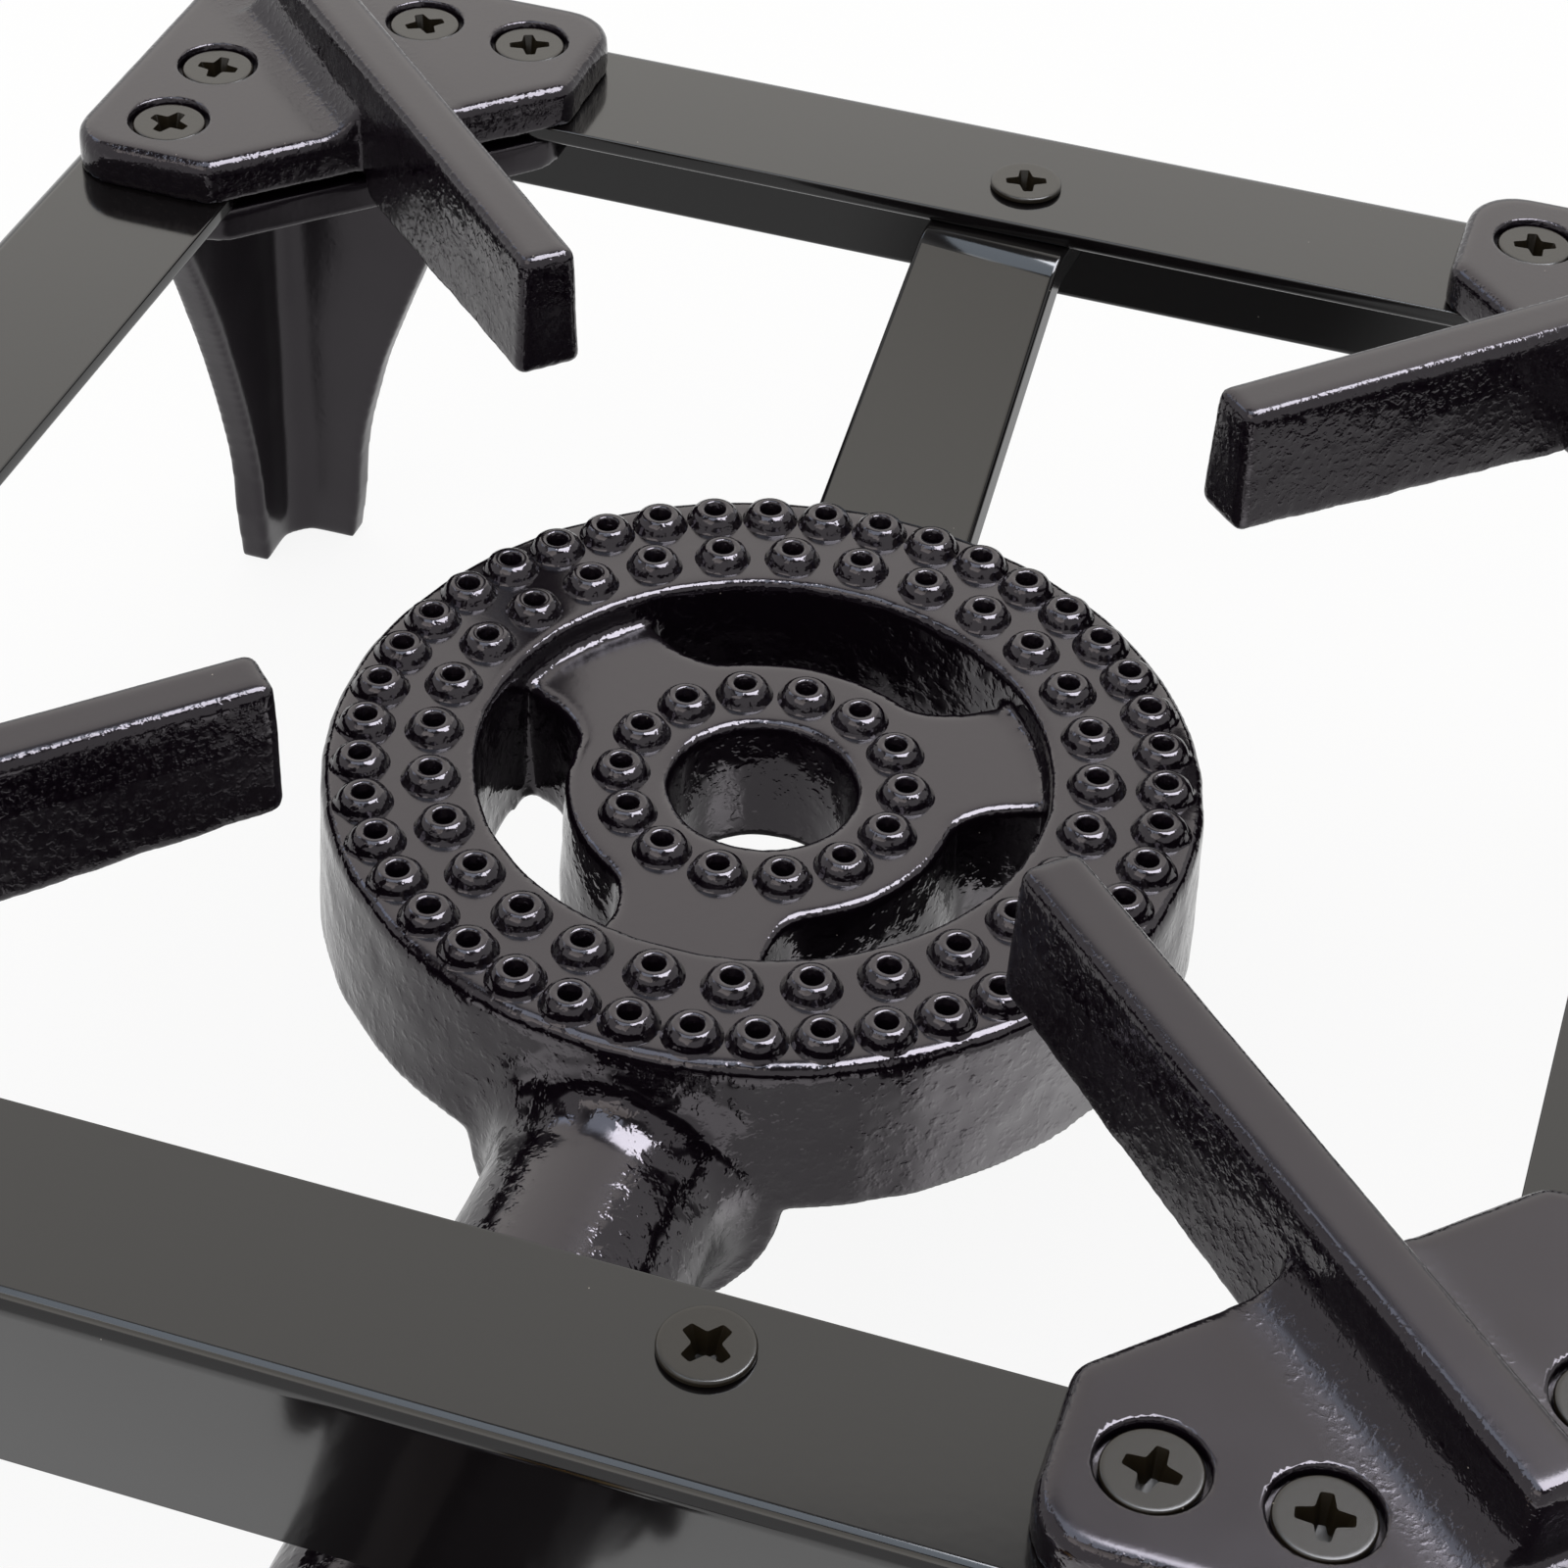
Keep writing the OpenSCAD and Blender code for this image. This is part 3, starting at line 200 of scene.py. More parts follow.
@dataclass(frozen=True)
class CastEnamel(Enamel):
    """Black stove enamel fired over a sand casting.

    The eye sees a deep, wet black. The sand's grit shows through it on the sides as small bright and
    dark pebbles, while the ground top faces are smoother and mirror the light as an even grey.
    """

    colour: str = "#0c070d"
    sheen: str = "#fff7ff"
    ior: float = 1.5
    side_roughness: float = 0.07
    top_roughness: float = 0.13
    cloudiness: float = 0.06
    grit_mm: float = 1.8
    grit_depth_mm: float = 0.05
    grit_cover: float = 0.45
    swell_mm: float = 6.0
    swell_depth_mm: float = 0.12
    top_grit: float = 0.08
    band_grit: float = 0.7
    band_blur: float = 0.16
    band_mm: float = 0.0
    band_fade_mm: float = 9.0
    band_top_mm: float = 168.0
    speck_pitch_mm: float = 9.0
    speck_mm: float = 0.15

    def unground(self, tree: bpy.types.NodeTree, place: bpy.types.NodeSocket) -> bpy.types.NodeSocket:
        """Mark the band along the corner castings' diagonals that isn't ground smooth.

        Args:
            tree: The material's node tree.
            place: The socket of the place.

        Returns:
            A socket that gives the relief in the band, and 0 away from it.
        """
        apart = add_node(
            tree, "ShaderNodeVectorMath", {0: place, 1: DATUM.axis * METRES}, {"operation": "SUBTRACT"},
        )
        folded = add_node(tree, "ShaderNodeVectorMath", {0: apart.outputs[0]}, {"operation": "ABSOLUTE"})
        across = add_node(
            tree, "ShaderNodeVectorMath",
            {0: folded.outputs[0], 1: (math.sqrt(0.5), -math.sqrt(0.5), 0.0)}, {"operation": "DOT_PRODUCT"},
        )
        distance = add_node(tree, "ShaderNodeMath", {0: across.outputs["Value"]}, {"operation": "ABSOLUTE"})
        band = add_node(
            tree, "ShaderNodeMapRange",
            {"Value": distance.outputs[0], "From Min": self.band_mm * METRES,
             "From Max": (self.band_mm + self.band_fade_mm) * METRES, "To Min": 1.0, "To Max": 0.0},
            {"interpolation_type": "SMOOTHSTEP"},
        )
        height = add_node(tree, "ShaderNodeSeparateXYZ", {0: place})
        low = add_node(
            tree, "ShaderNodeMath", {0: height.outputs["Z"], 1: self.band_top_mm * METRES},
            {"operation": "LESS_THAN"},
        )
        marked = add_node(
            tree, "ShaderNodeMath", {0: band.outputs[0], 1: low.outputs[0]}, {"operation": "MULTIPLY"},
        )
        return add_node(
            tree, "ShaderNodeMath", {0: marked.outputs[0], 1: self.band_grit}, {"operation": "MULTIPLY"},
        ).outputs[0]

    def shader(self, tree: bpy.types.NodeTree) -> bpy.types.Node:
        """Build the enamel's nodes.

        Args:
            tree: The material's node tree.

        Returns:
            The shader node.
        """
        coords = add_node(tree, "ShaderNodeTexCoord")
        place = coords.outputs["Object"]
        facing = add_node(tree, "ShaderNodeSeparateXYZ", {0: coords.outputs["Normal"]})
        flat = add_node(
            tree, "ShaderNodeMapRange",
            {"Value": facing.outputs["Z"], "From Min": 0.92, "From Max": 0.985},
            {"interpolation_type": "SMOOTHSTEP"},
        )
        calm = add_node(
            tree, "ShaderNodeMapRange",
            {"Value": flat.outputs[0], "To Min": 1.0, "To Max": self.top_grit},
        )
        relief = calm.outputs[0]
        gloss = add_node(
            tree, "ShaderNodeMapRange",
            {"Value": flat.outputs[0], "To Min": self.side_roughness, "To Max": self.top_roughness},
        )
        if self.band_mm > 0:
            band = self.unground(tree, place)
            relief = add_node(
                tree, "ShaderNodeMath", {0: relief, 1: band}, {"operation": "MAXIMUM"},
            ).outputs[0]
            gloss = add_node(
                tree, "ShaderNodeMath", {0: band, 1: self.band_blur, 2: gloss.outputs[0]},
                {"operation": "MULTIPLY_ADD"},
            )
        swell = add_node(
            tree, "ShaderNodeTexNoise",
            {"Vector": place, "Scale": 1 / (self.swell_mm * METRES), "Detail": 0.0},
        )
        swollen = add_node(
            tree, "ShaderNodeBump",
            {"Height": swell.outputs[0], "Strength": relief, "Distance": self.swell_depth_mm * METRES},
        )
        grit = add_node(
            tree, "ShaderNodeTexNoise",
            {"Vector": place, "Scale": 1 / (self.grit_mm * METRES), "Detail": 2.0, "Roughness": 0.5},
        )
        pebbles = add_node(
            tree, "ShaderNodeMapRange",
            {"Value": grit.outputs[0], "From Min": self.grit_cover, "From Max": 0.75},
            {"interpolation_type": "SMOOTHSTEP"},
        )
        gritty = add_node(
            tree, "ShaderNodeBump",
            {"Height": pebbles.outputs[0], "Strength": relief,
             "Distance": self.grit_depth_mm * METRES, "Normal": swollen.outputs[0]},
        )
        cloud = add_node(
            tree, "ShaderNodeTexNoise",
            {"Vector": place, "Scale": 1 / (3 * self.swell_mm * METRES), "Detail": 2.0},
        )
        cloudy = add_node(
            tree, "ShaderNodeMath",
            {0: cloud.outputs[0], 1: self.cloudiness, 2: gloss.outputs[0]}, {"operation": "MULTIPLY_ADD"},
        )
        return add_node(
            tree, "ShaderNodeBsdfPrincipled",
            {"Base Color": self.specked(tree, place), "Roughness": cloudy.outputs[0], "IOR": self.ior,
             "Specular Tint": linear(self.sheen), "Normal": gritty.outputs[0]},
        )


@dataclass(frozen=True)
class SheetEnamel(Enamel):
    """Black stove enamel on rolled steel.

    The eye sees a smooth satin black with a faint orange peel, and a few specks of dust.
    """

    roughness: float = 0.08
    cloudiness: float = 0.04
    peel_mm: float = 2.6
    peel_depth_mm: float = 0.004
    wave_mm: float = 45.0
    wave_depth_mm: float = 0.06

    def shader(self, tree: bpy.types.NodeTree) -> bpy.types.Node:
        """Build the enamel's nodes.

        Args:
            tree: The material's node tree.

        Returns:
            The shader node.
        """
        place = add_node(tree, "ShaderNodeTexCoord").outputs["Object"]
        wave = add_node(
            tree, "ShaderNodeTexNoise",
            {"Vector": place, "Scale": 1 / (self.wave_mm * METRES), "Detail": 0.0},
        )
        wavy = add_node(
            tree, "ShaderNodeBump",
            {"Height": wave.outputs[0], "Distance": self.wave_depth_mm * METRES},
        )
        peel = add_node(
            tree, "ShaderNodeTexNoise",
            {"Vector": place, "Scale": 1 / (self.peel_mm * METRES), "Detail": 1.0},
        )
        peeled = add_node(
            tree, "ShaderNodeBump",
            {"Height": peel.outputs[0], "Distance": self.peel_depth_mm * METRES,
             "Normal": wavy.outputs[0]},
        )
        cloud = add_node(
            tree, "ShaderNodeTexNoise",
            {"Vector": place, "Scale": 1 / (self.wave_mm * METRES), "Detail": 3.0},
        )
        cloudy = add_node(
            tree, "ShaderNodeMath",
            {0: cloud.outputs[0], 1: self.cloudiness, 2: self.roughness}, {"operation": "MULTIPLY_ADD"},
        )
        return add_node(
            tree, "ShaderNodeBsdfPrincipled",
            {"Base Color": self.specked(tree, place), "Roughness": cloudy.outputs[0], "IOR": self.ior,
             "Normal": peeled.outputs[0]},
        )


@dataclass(frozen=True)
class Metal(Finish):
    """A bare or plated metal with a machined surface.

    The eye sees the metal's own colour, turning duller and darker in soft patches, and fine
    tool marks that streak the highlights.
    """

    colour: str = "#c9a55d"
    dull: str = "#8d7440"
    metallic: float = 1.0
    roughness: float = 0.24
    wear: float = 0.16
    patch_mm: float = 7.0
    mark_mm: float = 0.35
    mark_depth_mm: float = 0.008

    def shader(self, tree: bpy.types.NodeTree) -> bpy.types.Node:
        """Build the metal's nodes.

        Args:
            tree: The material's node tree.

        Returns:
            The shader node.
        """
        place = add_node(tree, "ShaderNodeTexCoord").outputs["Object"]
        patch = add_node(
            tree, "ShaderNodeTexNoise",
            {"Vector": place, "Scale": 1 / (self.patch_mm * METRES), "Detail": 3.0},
        )
        worn = add_node(
            tree, "ShaderNodeMapRange", {"Value": patch.outputs[0], "From Min": 0.42, "From Max": 0.7},
            {"interpolation_type": "SMOOTHSTEP"},
        )
        colour = add_node(
            tree, "ShaderNodeMix",
            {0: worn.outputs[0], 6: linear(self.colour), 7: linear(self.dull)},
            {"data_type": "RGBA"},
        )
        gloss = add_node(
            tree, "ShaderNodeMath",
            {0: worn.outputs[0], 1: self.wear, 2: self.roughness}, {"operation": "MULTIPLY_ADD"},
        )
        marks = add_node(
            tree, "ShaderNodeTexNoise",
            {"Vector": place, "Scale": 1 / (self.mark_mm * METRES), "Detail": 2.0},
        )
        marked = add_node(
            tree, "ShaderNodeBump",
            {"Height": marks.outputs[0], "Distance": self.mark_depth_mm * METRES},
        )
        return add_node(
            tree, "ShaderNodeBsdfPrincipled",
            {"Base Color": colour.outputs[2], "Metallic": self.metallic,
             "Roughness": gloss.outputs[0], "Normal": marked.outputs[0]},
        )


@dataclass(frozen=True)
class MouldedPhenolic(Finish):
    """Heat-resistant phenolic, moulded.

    The eye sees a warm black with a soft sheen and a very fine mould texture.
    """

    colour: str = "#17151a"
    ior: float = 1.6
    roughness: float = 0.34
    grain_mm: float = 0.8
    grain_depth_mm: float = 0.015

    def shader(self, tree: bpy.types.NodeTree) -> bpy.types.Node:
        """Build the plastic's nodes.

        Args:
            tree: The material's node tree.

        Returns:
            The shader node.
        """
        place = add_node(tree, "ShaderNodeTexCoord").outputs["Object"]
        grain = add_node(
            tree, "ShaderNodeTexNoise",
            {"Vector": place, "Scale": 1 / (self.grain_mm * METRES), "Detail": 2.0},
        )
        grained = add_node(
            tree, "ShaderNodeBump",
            {"Height": grain.outputs[0], "Distance": self.grain_depth_mm * METRES},
        )
        sheen = add_node(
            tree, "ShaderNodeMath",
            {0: grain.outputs[0], 1: 0.1, 2: self.roughness}, {"operation": "MULTIPLY_ADD"},
        )
        return add_node(
            tree, "ShaderNodeBsdfPrincipled",
            {"Base Color": linear(self.colour), "Roughness": sheen.outputs[0], "IOR": self.ior,
             "Normal": grained.outputs[0]},
        )


CASTING = CastEnamel(
    "black_enamel_on_burner_casting", Slot.BLACK_ENAMEL, swell_mm=4.0, swell_depth_mm=0.13, grit_mm=2.2,
    grit_depth_mm=0.08,
)
CORNER_CASTING = CastEnamel(
    "black_enamel_on_corner_casting", Slot.BLACK_ENAMEL, ior=1.46, band_mm=12.0, grit_mm=1.4,
    grit_depth_mm=0.07, swell_depth_mm=0.05, top_roughness=0.16,
)
LEG_CASTING = CastEnamel(
    "black_enamel_on_leg_casting", Slot.BLACK_ENAMEL, grit_depth_mm=0.012, swell_mm=9.0,
    swell_depth_mm=0.05, side_roughness=0.2,
)
RAIL_ENAMEL = SheetEnamel("satin_black_enamel_on_angle_iron", Slot.FRAME_PAINT)
SCREW_ENAMEL = SheetEnamel(
    "thin_black_enamel_on_screws", Slot.BLACKENED_STEEL, colour="#1f1a12", ior=1.42, roughness=0.22,
    peel_mm=1.4, peel_depth_mm=0.012,
)
BRASS = Metal("turned_brass", Slot.BRASS)
ZINC = Metal(
    "zinc_plated_steel", Slot.PLATED_STEEL, colour="#c3c3bf", dull="#8b8c8c", roughness=0.3,
)
ALUMINIUM = Metal(
    "cast_and_turned_aluminium", Slot.SHUTTER_METAL, colour="#b9b8b5", dull="#94938f",
    roughness=0.36, mark_mm=0.6, mark_depth_mm=0.02,
)
HANDLE = MouldedPhenolic("black_moulded_phenolic", Slot.HANDLE_PLASTIC)


def everywhere(place: Vector, normal: Vector) -> float:
    """Weigh every point of a surface alike."""
    return 1.0


class Workpiece:
    """A mesh in the making, in millimetres.

    Attributes:
        mesh: The bmesh that the operators shape.
    """

    def __init__(self) -> None:
        """Start with nothing."""
        self.mesh = bmesh.new()

    @classmethod
    def outline(
        cls, points: Sequence[Pair], rounds: Optional[dict[int, float]] = None, segments: int = 6,
    ) -> "Workpiece":
        """Lay a flat face in the XY plane and round its corners.

        Args:
            points: The corners in order.
            rounds: The radius of each rounded corner, by its number.
            segments: The steps of each round.

        Returns:
            The flat piece.
        """
        piece = cls()
        corners = [piece.mesh.verts.new((x, y, 0.0)) for x, y in points]
        piece.mesh.faces.new(corners)
        for number, radius in (rounds or {}).items():
            here = Vector(points[number])
            before = (Vector(points[number - 1]) - here).normalized()
            after = (Vector(points[(number + 1) % len(points)]) - here).normalized()
            opening = math.acos(max(-1.0, min(1.0, before.dot(after))))
            bmesh.ops.bevel(
                piece.mesh, geom=[corners[number]], offset=radius / math.tan(opening / 2),
                offset_type="OFFSET", segments=segments, profile=0.5, affect="VERTICES", material=-1,
            )
        return piece

    @classmethod
    def prism(
        cls, points: Sequence[Pair], low: float, high: float,
        rounds: Optional[dict[int, float]] = None, segments: int = 6,
    ) -> "Workpiece":
        """Stand an outline up between two heights.

        Args:
            points: The outline's corners.
            low: The lower height.
            high: The upper height.
            rounds: The radius of each rounded corner, by its number.
            segments: The steps of each round.

        Returns:
            The closed piece.
        """
        piece = cls.outline(points, rounds, segments)
        bmesh.ops.translate(piece.mesh, vec=(0.0, 0.0, low), verts=piece.mesh.verts[:])
        made = bmesh.ops.extrude_face_region(piece.mesh, geom=piece.mesh.faces[:])
        raised = [item for item in made["geom"] if isinstance(item, bmesh.types.BMVert)]
        bmesh.ops.translate(piece.mesh, vec=(0.0, 0.0, high - low), verts=raised)
        return piece.outwards()

    @classmethod
    def spun(
        cls, profile: Sequence[Pair], rounds: Optional[dict[int, float]] = None,
        steps: int = 64, segments: int = 4,
    ) -> "Workpiece":
        """Turn a closed profile round the Z axis.

        Args:
            profile: Corners as radius and height.
            rounds: The radius of each rounded corner, by its number.
            steps: The steps of the turn.
            segments: The steps of each rounded corner.

        Returns:
            The closed piece.
        """
        piece = cls.outline(profile, rounds, segments)
        mesh = piece.mesh
        bmesh.ops.rotate(mesh, verts=mesh.verts[:], matrix=Matrix.Rotation(math.pi / 2, 3, "X"))
        bmesh.ops.delete(mesh, geom=mesh.faces[:], context="FACES_ONLY")
        on_axis = [e for e in mesh.edges if all(abs(v.co.x) < 1e-4 for v in e.verts)]
        bmesh.ops.delete(mesh, geom=on_axis, context="EDGES")
        bmesh.ops.spin(
            mesh, geom=mesh.verts[:] + mesh.edges[:], cent=(0.0, 0.0, 0.0), axis=(0.0, 0.0, 1.0),
            dvec=(0.0, 0.0, 0.0), angle=FULL_TURN, steps=steps, use_merge=True, use_duplicate=False,
        )
        bmesh.ops.remove_doubles(mesh, verts=mesh.verts[:], dist=1e-3)
        return piece.outwards()

    @classmethod
    def block(cls, low: Triple, high: Triple) -> "Workpiece":
        """Make a block between two corners.

        Args:
            low: The lowest corner.
            high: The highest corner.

        Returns:
            The block.
        """
        points = [(low[0], low[1]), (high[0], low[1]), (high[0], high[1]), (low[0], high[1])]
        return cls.prism(points, low[2], high[2])

    def outwards(self) -> "Workpiece":
        """Point every face outwards."""
        bmesh.ops.recalc_face_normals(self.mesh, faces=self.mesh.faces[:])
        return self

    def copy(self) -> "Workpiece":
        """Make a second piece like this one."""
        twin = Workpiece()
        twin.mesh = self.mesh.copy()
        return twin

    def move(self, matrix: Matrix) -> "Workpiece":
        """Move every vertex by a matrix."""
        bmesh.ops.transform(self.mesh, matrix=matrix, verts=self.mesh.verts[:])
        return self

    def shift(self, x: float = 0.0, y: float = 0.0, z: float = 0.0) -> "Workpiece":
        """Move the piece along the axes."""
        return self.move(Matrix.Translation((x, y, z)))

    def add(self, *others: "Workpiece") -> "Workpiece":
        """Put other pieces' shells beside this one's.

        Args:
            others: The pieces, which are used up.

        Returns:
            This piece.
        """
        for other in others:
            passing = bpy.data.meshes.new("passing")
            other.mesh.to_mesh(passing)
            other.mesh.free()
            self.mesh.from_mesh(passing)
            bpy.data.meshes.remove(passing)
        return self

    def round_edges(self, width: float, segments: int = 3, from_degrees: float = 28.0) -> "Workpiece":
        """Round every edge that is sharper than an angle.

        Args:
            width: The width of the bevel.
            segments: Its steps.
            from_degrees: The least angle between the faces.

        Returns:
            This piece.
        """
        sharp = [
            e for e in self.mesh.edges
            if len(e.link_faces) == 2 and e.calc_face_angle(0.0) > math.radians(from_degrees)
        ]
        bmesh.ops.bevel(
            self.mesh, geom=sharp, offset=width, offset_type="OFFSET", segments=segments,
            profile=0.5, affect="EDGES", clamp_overlap=True, material=-1,
        )
        return self

    def hold_flats(self, margin: float = 0.4, from_width: float = 2.5) -> "Workpiece":
        """Put a narrow margin inside each wide face, so that it shades flat up to a rounded edge.

        Args:
            margin: The width of the margin.
            from_width: The least width of a face that gets one.

        Returns:
            This piece.
        """
        wide = [f for f in self.mesh.faces if 2 * f.calc_area() > from_width * f.calc_perimeter()]
        bmesh.ops.inset_individual(self.mesh, faces=wide, thickness=margin, use_even_offset=True)
        return self

    def scratch_object(self) -> bpy.types.Object:
        """Put the mesh on an object for a modifier to work on, and return the object."""
        data = bpy.data.meshes.new("scratch")
        self.mesh.to_mesh(data)
        item = bpy.data.objects.new("scratch", data)
        bpy.context.scene.collection.objects.link(item)
        return item

    def take(self, item: bpy.types.Object, *spent: bpy.types.Object) -> "Workpiece":
        """Take the mesh that an object's modifiers give, and delete the objects.

        Args:
            item: The object with the modifier.
            spent: Other objects to delete.

        Returns:
            This piece.
        """
        graph = bpy.context.evaluated_depsgraph_get()
        result = bpy.data.meshes.new_from_object(item.evaluated_get(graph), depsgraph=graph)
        self.mesh.free()
        self.mesh = bmesh.new()
        self.mesh.from_mesh(result)
        bpy.data.meshes.remove(result)
        for used in (item, *spent):
            data = used.data
            bpy.data.objects.remove(used)
            bpy.data.meshes.remove(data)
        return self

    def combine(self, other: "Workpiece", joining: Joining) -> "Workpiece":
        """Join, cut or trim the piece with another one.

        Args:
            other: The other piece, which is kept.
            joining: How they are combined.

        Returns:
            This piece.
        """
        body, tool = self.scratch_object(), other.scratch_object()
        step = body.modifiers.new("combine", "BOOLEAN")
        step.operation = joining.value
        step.solver = "EXACT"
        step.use_self = True
        step.object = tool
        return self.take(body, tool)

    def fuse(self, voxel: float) -> "Workpiece":
        """Run all shells together into one skin of small even faces.

        Args:
            voxel: The size of the faces.

        Returns:
            This piece.
        """
        body = self.scratch_object()
        step = body.modifiers.new("fuse", "REMESH")
        step.mode = "VOXEL"
        step.voxel_size = voxel
        step.use_smooth_shade = True
        return self.take(body)

    def soften(self, passes: int, factor: float = 0.5) -> "Workpiece":
        """Smooth the skin, which rounds its edges.

        Args:
            passes: The number of passes.
            factor: How far each pass goes.

        Returns:
            This piece.
        """
        for _ in range(passes):
            bmesh.ops.smooth_vert(
                self.mesh, verts=self.mesh.verts[:], factor=factor,
                use_axis_x=True, use_axis_y=True, use_axis_z=True,
            )
        return self

    def ripple(self, depth: float, size: float, weight: Weight = everywhere) -> "Workpiece":
        """Make the skin uneven, as a sand casting's is.

        Args:
            depth: The greatest height of the ripples.
            size: The distance between ripples.
            weight: The share of the depth at a place with its normal.

        Returns:
            This piece.
        """
        self.mesh.normal_update()
        moves = [
            (v, v.normal * depth * weight(v.co, v.normal) * noise.noise(v.co / size))
            for v in self.mesh.verts
        ]
        for vertex, step in moves:
            vertex.co += step
        return self

    def deliver(
        self, name: str, finish: Finish, nodes: Iterable[str], body: str = "root",
        smooth_to: float = 38.0,
    ) -> bpy.types.Object:
        """Scale the piece to metres and put it on the cooker.

        Args:
            name: The piece's name.
            finish: Its finish.
            nodes: The CAD nodes that it replaces.
            body: The body that it rides on.
            smooth_to: The angle in degrees up to which its faces shade as one.

        Returns:
            The piece's object.
        """
        bmesh.ops.scale(self.mesh, vec=(METRES, METRES, METRES), verts=self.mesh.verts[:])
        data = bpy.data.meshes.new(name)
        self.mesh.to_mesh(data)
        self.mesh.free()
        data.polygons.foreach_set("use_smooth", [True] * len(data.polygons))
        data.set_sharp_from_angle(angle=math.radians(smooth_to))
        data.materials.append(finish.material())
        piece = bpy.data.objects.new(name, data)
        bpy.context.scene.collection.objects.link(piece)
        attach(piece, body)
        nodes = list(nodes)
        if nodes:
            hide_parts(*nodes)
        log.info("%s: %d faces, in place of %s", name, len(data.polygons), ", ".join(nodes) or "nothing")
        return piece


def dress(finish: Finish, *nodes: str) -> None:
    """Give CAD nodes that stay a finish.

    Args:
        finish: The finish.
        nodes: The nodes' names.
    """
    for name in nodes:
        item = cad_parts[name]
        item.data.materials.clear()
        item.data.materials.append(finish.material())
        log.info("%s: kept, in %s", name, finish.name)


@dataclass(frozen=True)
class Datum:
    """Where the cooker's main features lie.

    Attributes:
        axis: The burner's axis on the floor.
        half: Half of the frame's width.
        rail_top: Height of the rails' top faces.
        gas_z: Height of the gas axis.
        burner_top: Height of the flat top of the ring.
    """

    axis: Vector
    half: float
    rail_top: float
    gas_z: float
    burner_top: float

    @classmethod
    def measure(cls, port_height: float) -> "Datum":
        """Measure the features on the CAD nodes.

        Args:
            port_height: Height of a flame port's boss above the ring.

        Returns:
            The datum.
        """
        left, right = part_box("rail_left"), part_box("rail_right")
        front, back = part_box("rail_front"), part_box("rail_back")
        nozzle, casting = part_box("hose_nozzle"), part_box(casting_nodes()[0])
        return cls(
            axis=Vector(((left[0].x + right[1].x) / 2, (front[0].y + back[1].y) / 2, 0.0)) / METRES,
            half=(right[1].x - left[0].x) / 2 / METRES,
            rail_top=front[1].z / METRES,
            gas_z=(nozzle[0].z + nozzle[1].z) / 2 / METRES,
            burner_top=casting[1].z / METRES - port_height,
        )

    def corner(self, number: int) -> Matrix:
        """Give the place of a part that is drawn from the front left corner of the rails' top.

        Args:
            number: The corner, counted anticlockwise from the front left.

        Returns:
            The matrix that turns the part to its corner.
        """
        return (
            Matrix.Translation(self.axis + UP * self.rail_top)
            @ Matrix.Rotation(math.radians(90 * number), 4, "Z")
            @ Matrix.Translation((-self.half, -self.half, 0.0))
        )

    def burner(self) -> Matrix:
        """Give the place of a part that is drawn round the burner's axis."""
        return Matrix.Translation(self.axis)

    def forwards(self, y: float) -> Matrix:
        """Lay a part that is drawn along Z on the gas axis, so that it runs forwards from y."""
        return (
            Matrix.Translation((self.axis.x, self.axis.y + y, self.gas_z))
            @ Matrix.Rotation(math.pi / 2, 4, "X")
        )


PORT_HEIGHT = 3.0


def casting_nodes() -> list[str]:
    """List the nodes that make up the burner casting."""
    parts = (
        "burner_ring", "ring_inner_wall", "burner_hub", "hub_inner_wall", "mixing_tube", "injector_bridge",
    )
    return [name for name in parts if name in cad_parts]


DATUM = Datum.measure(PORT_HEIGHT)


@dataclass
class Rails:
    """The frame: four lengths of angle iron, mitred at the corners."""

    datum: Datum
    width: float = 40.0
    thick: float = 4.0
    edge: float = 3.0
    root: float = 3.0
    overcut: float = 1.0
    toe: float = 1.2
    arris: float = 0.5
    mitre_gap: float = 0.4
    hole_radius: float = 5.2

    def holed(self, rail: Workpiece, places: Sequence[Vector]) -> Workpiece:
        """Drill a rail for the straps' screws.

        Args:
            rail: The rail, in its place.
            places: The screws' places round the burner's axis.

        Returns:
            The rail.
        """
        for place in places:
            low, high, radius = -self.thick - self.overcut, self.overcut, self.hole_radius
            drill = Workpiece.spun([(0.0, low), (radius, low), (radius, high), (0.0, high)], steps=40)
            top = Vector((place.x, place.y, self.datum.rail_top))
            rail.combine(drill.move(Matrix.Translation(self.datum.axis + top)), Joining.DIFFERENCE)
            drill.mesh.free()
        return rail

    def rail(self) -> Workpiece:
        """Shape the rail of the front side, drawn from the burner's axis.

        Returns:
            The rail.
        """
        section = [
            (0.0, 0.0), (self.width, 0.0), (self.width, -self.thick),
            (self.thick, -self.thick), (self.thick, -self.width), (0.0, -self.width),
        ]
        rounds = {0: self.edge, 1: self.arris, 2: self.toe, 3: self.root, 4: self.toe, 5: self.arris}
        rail = Workpiece.prism(section, -1.0, 1.0, rounds, segments=5)
        reach = self.datum.half - self.mitre_gap / 2
        for vertex in rail.mesh.verts:
            inwards, height, end = vertex.co
            vertex.co = (end * (reach - inwards), inwards - self.datum.half, height)
        return rail.outwards().hold_flats()

    def build(self, screws: dict[str, Vector]) -> None:
        """Put the four rails in place.

        Args:
            screws: The place of the strap's screw in a rail, by the rail's node.
        """
        sides = ("rail_front", "rail_right", "rail_back", "rail_left")
        for number, side in enumerate(sides):
            place = (
                Matrix.Translation(self.datum.axis + UP * self.datum.rail_top)
                @ Matrix.Rotation(math.radians(90 * number), 4, "Z")
            )
            rail = self.holed(self.rail().move(place), [screws[side]] if side in screws else [])
            rail.deliver(side + "_enamelled", RAIL_ENAMEL, [side])


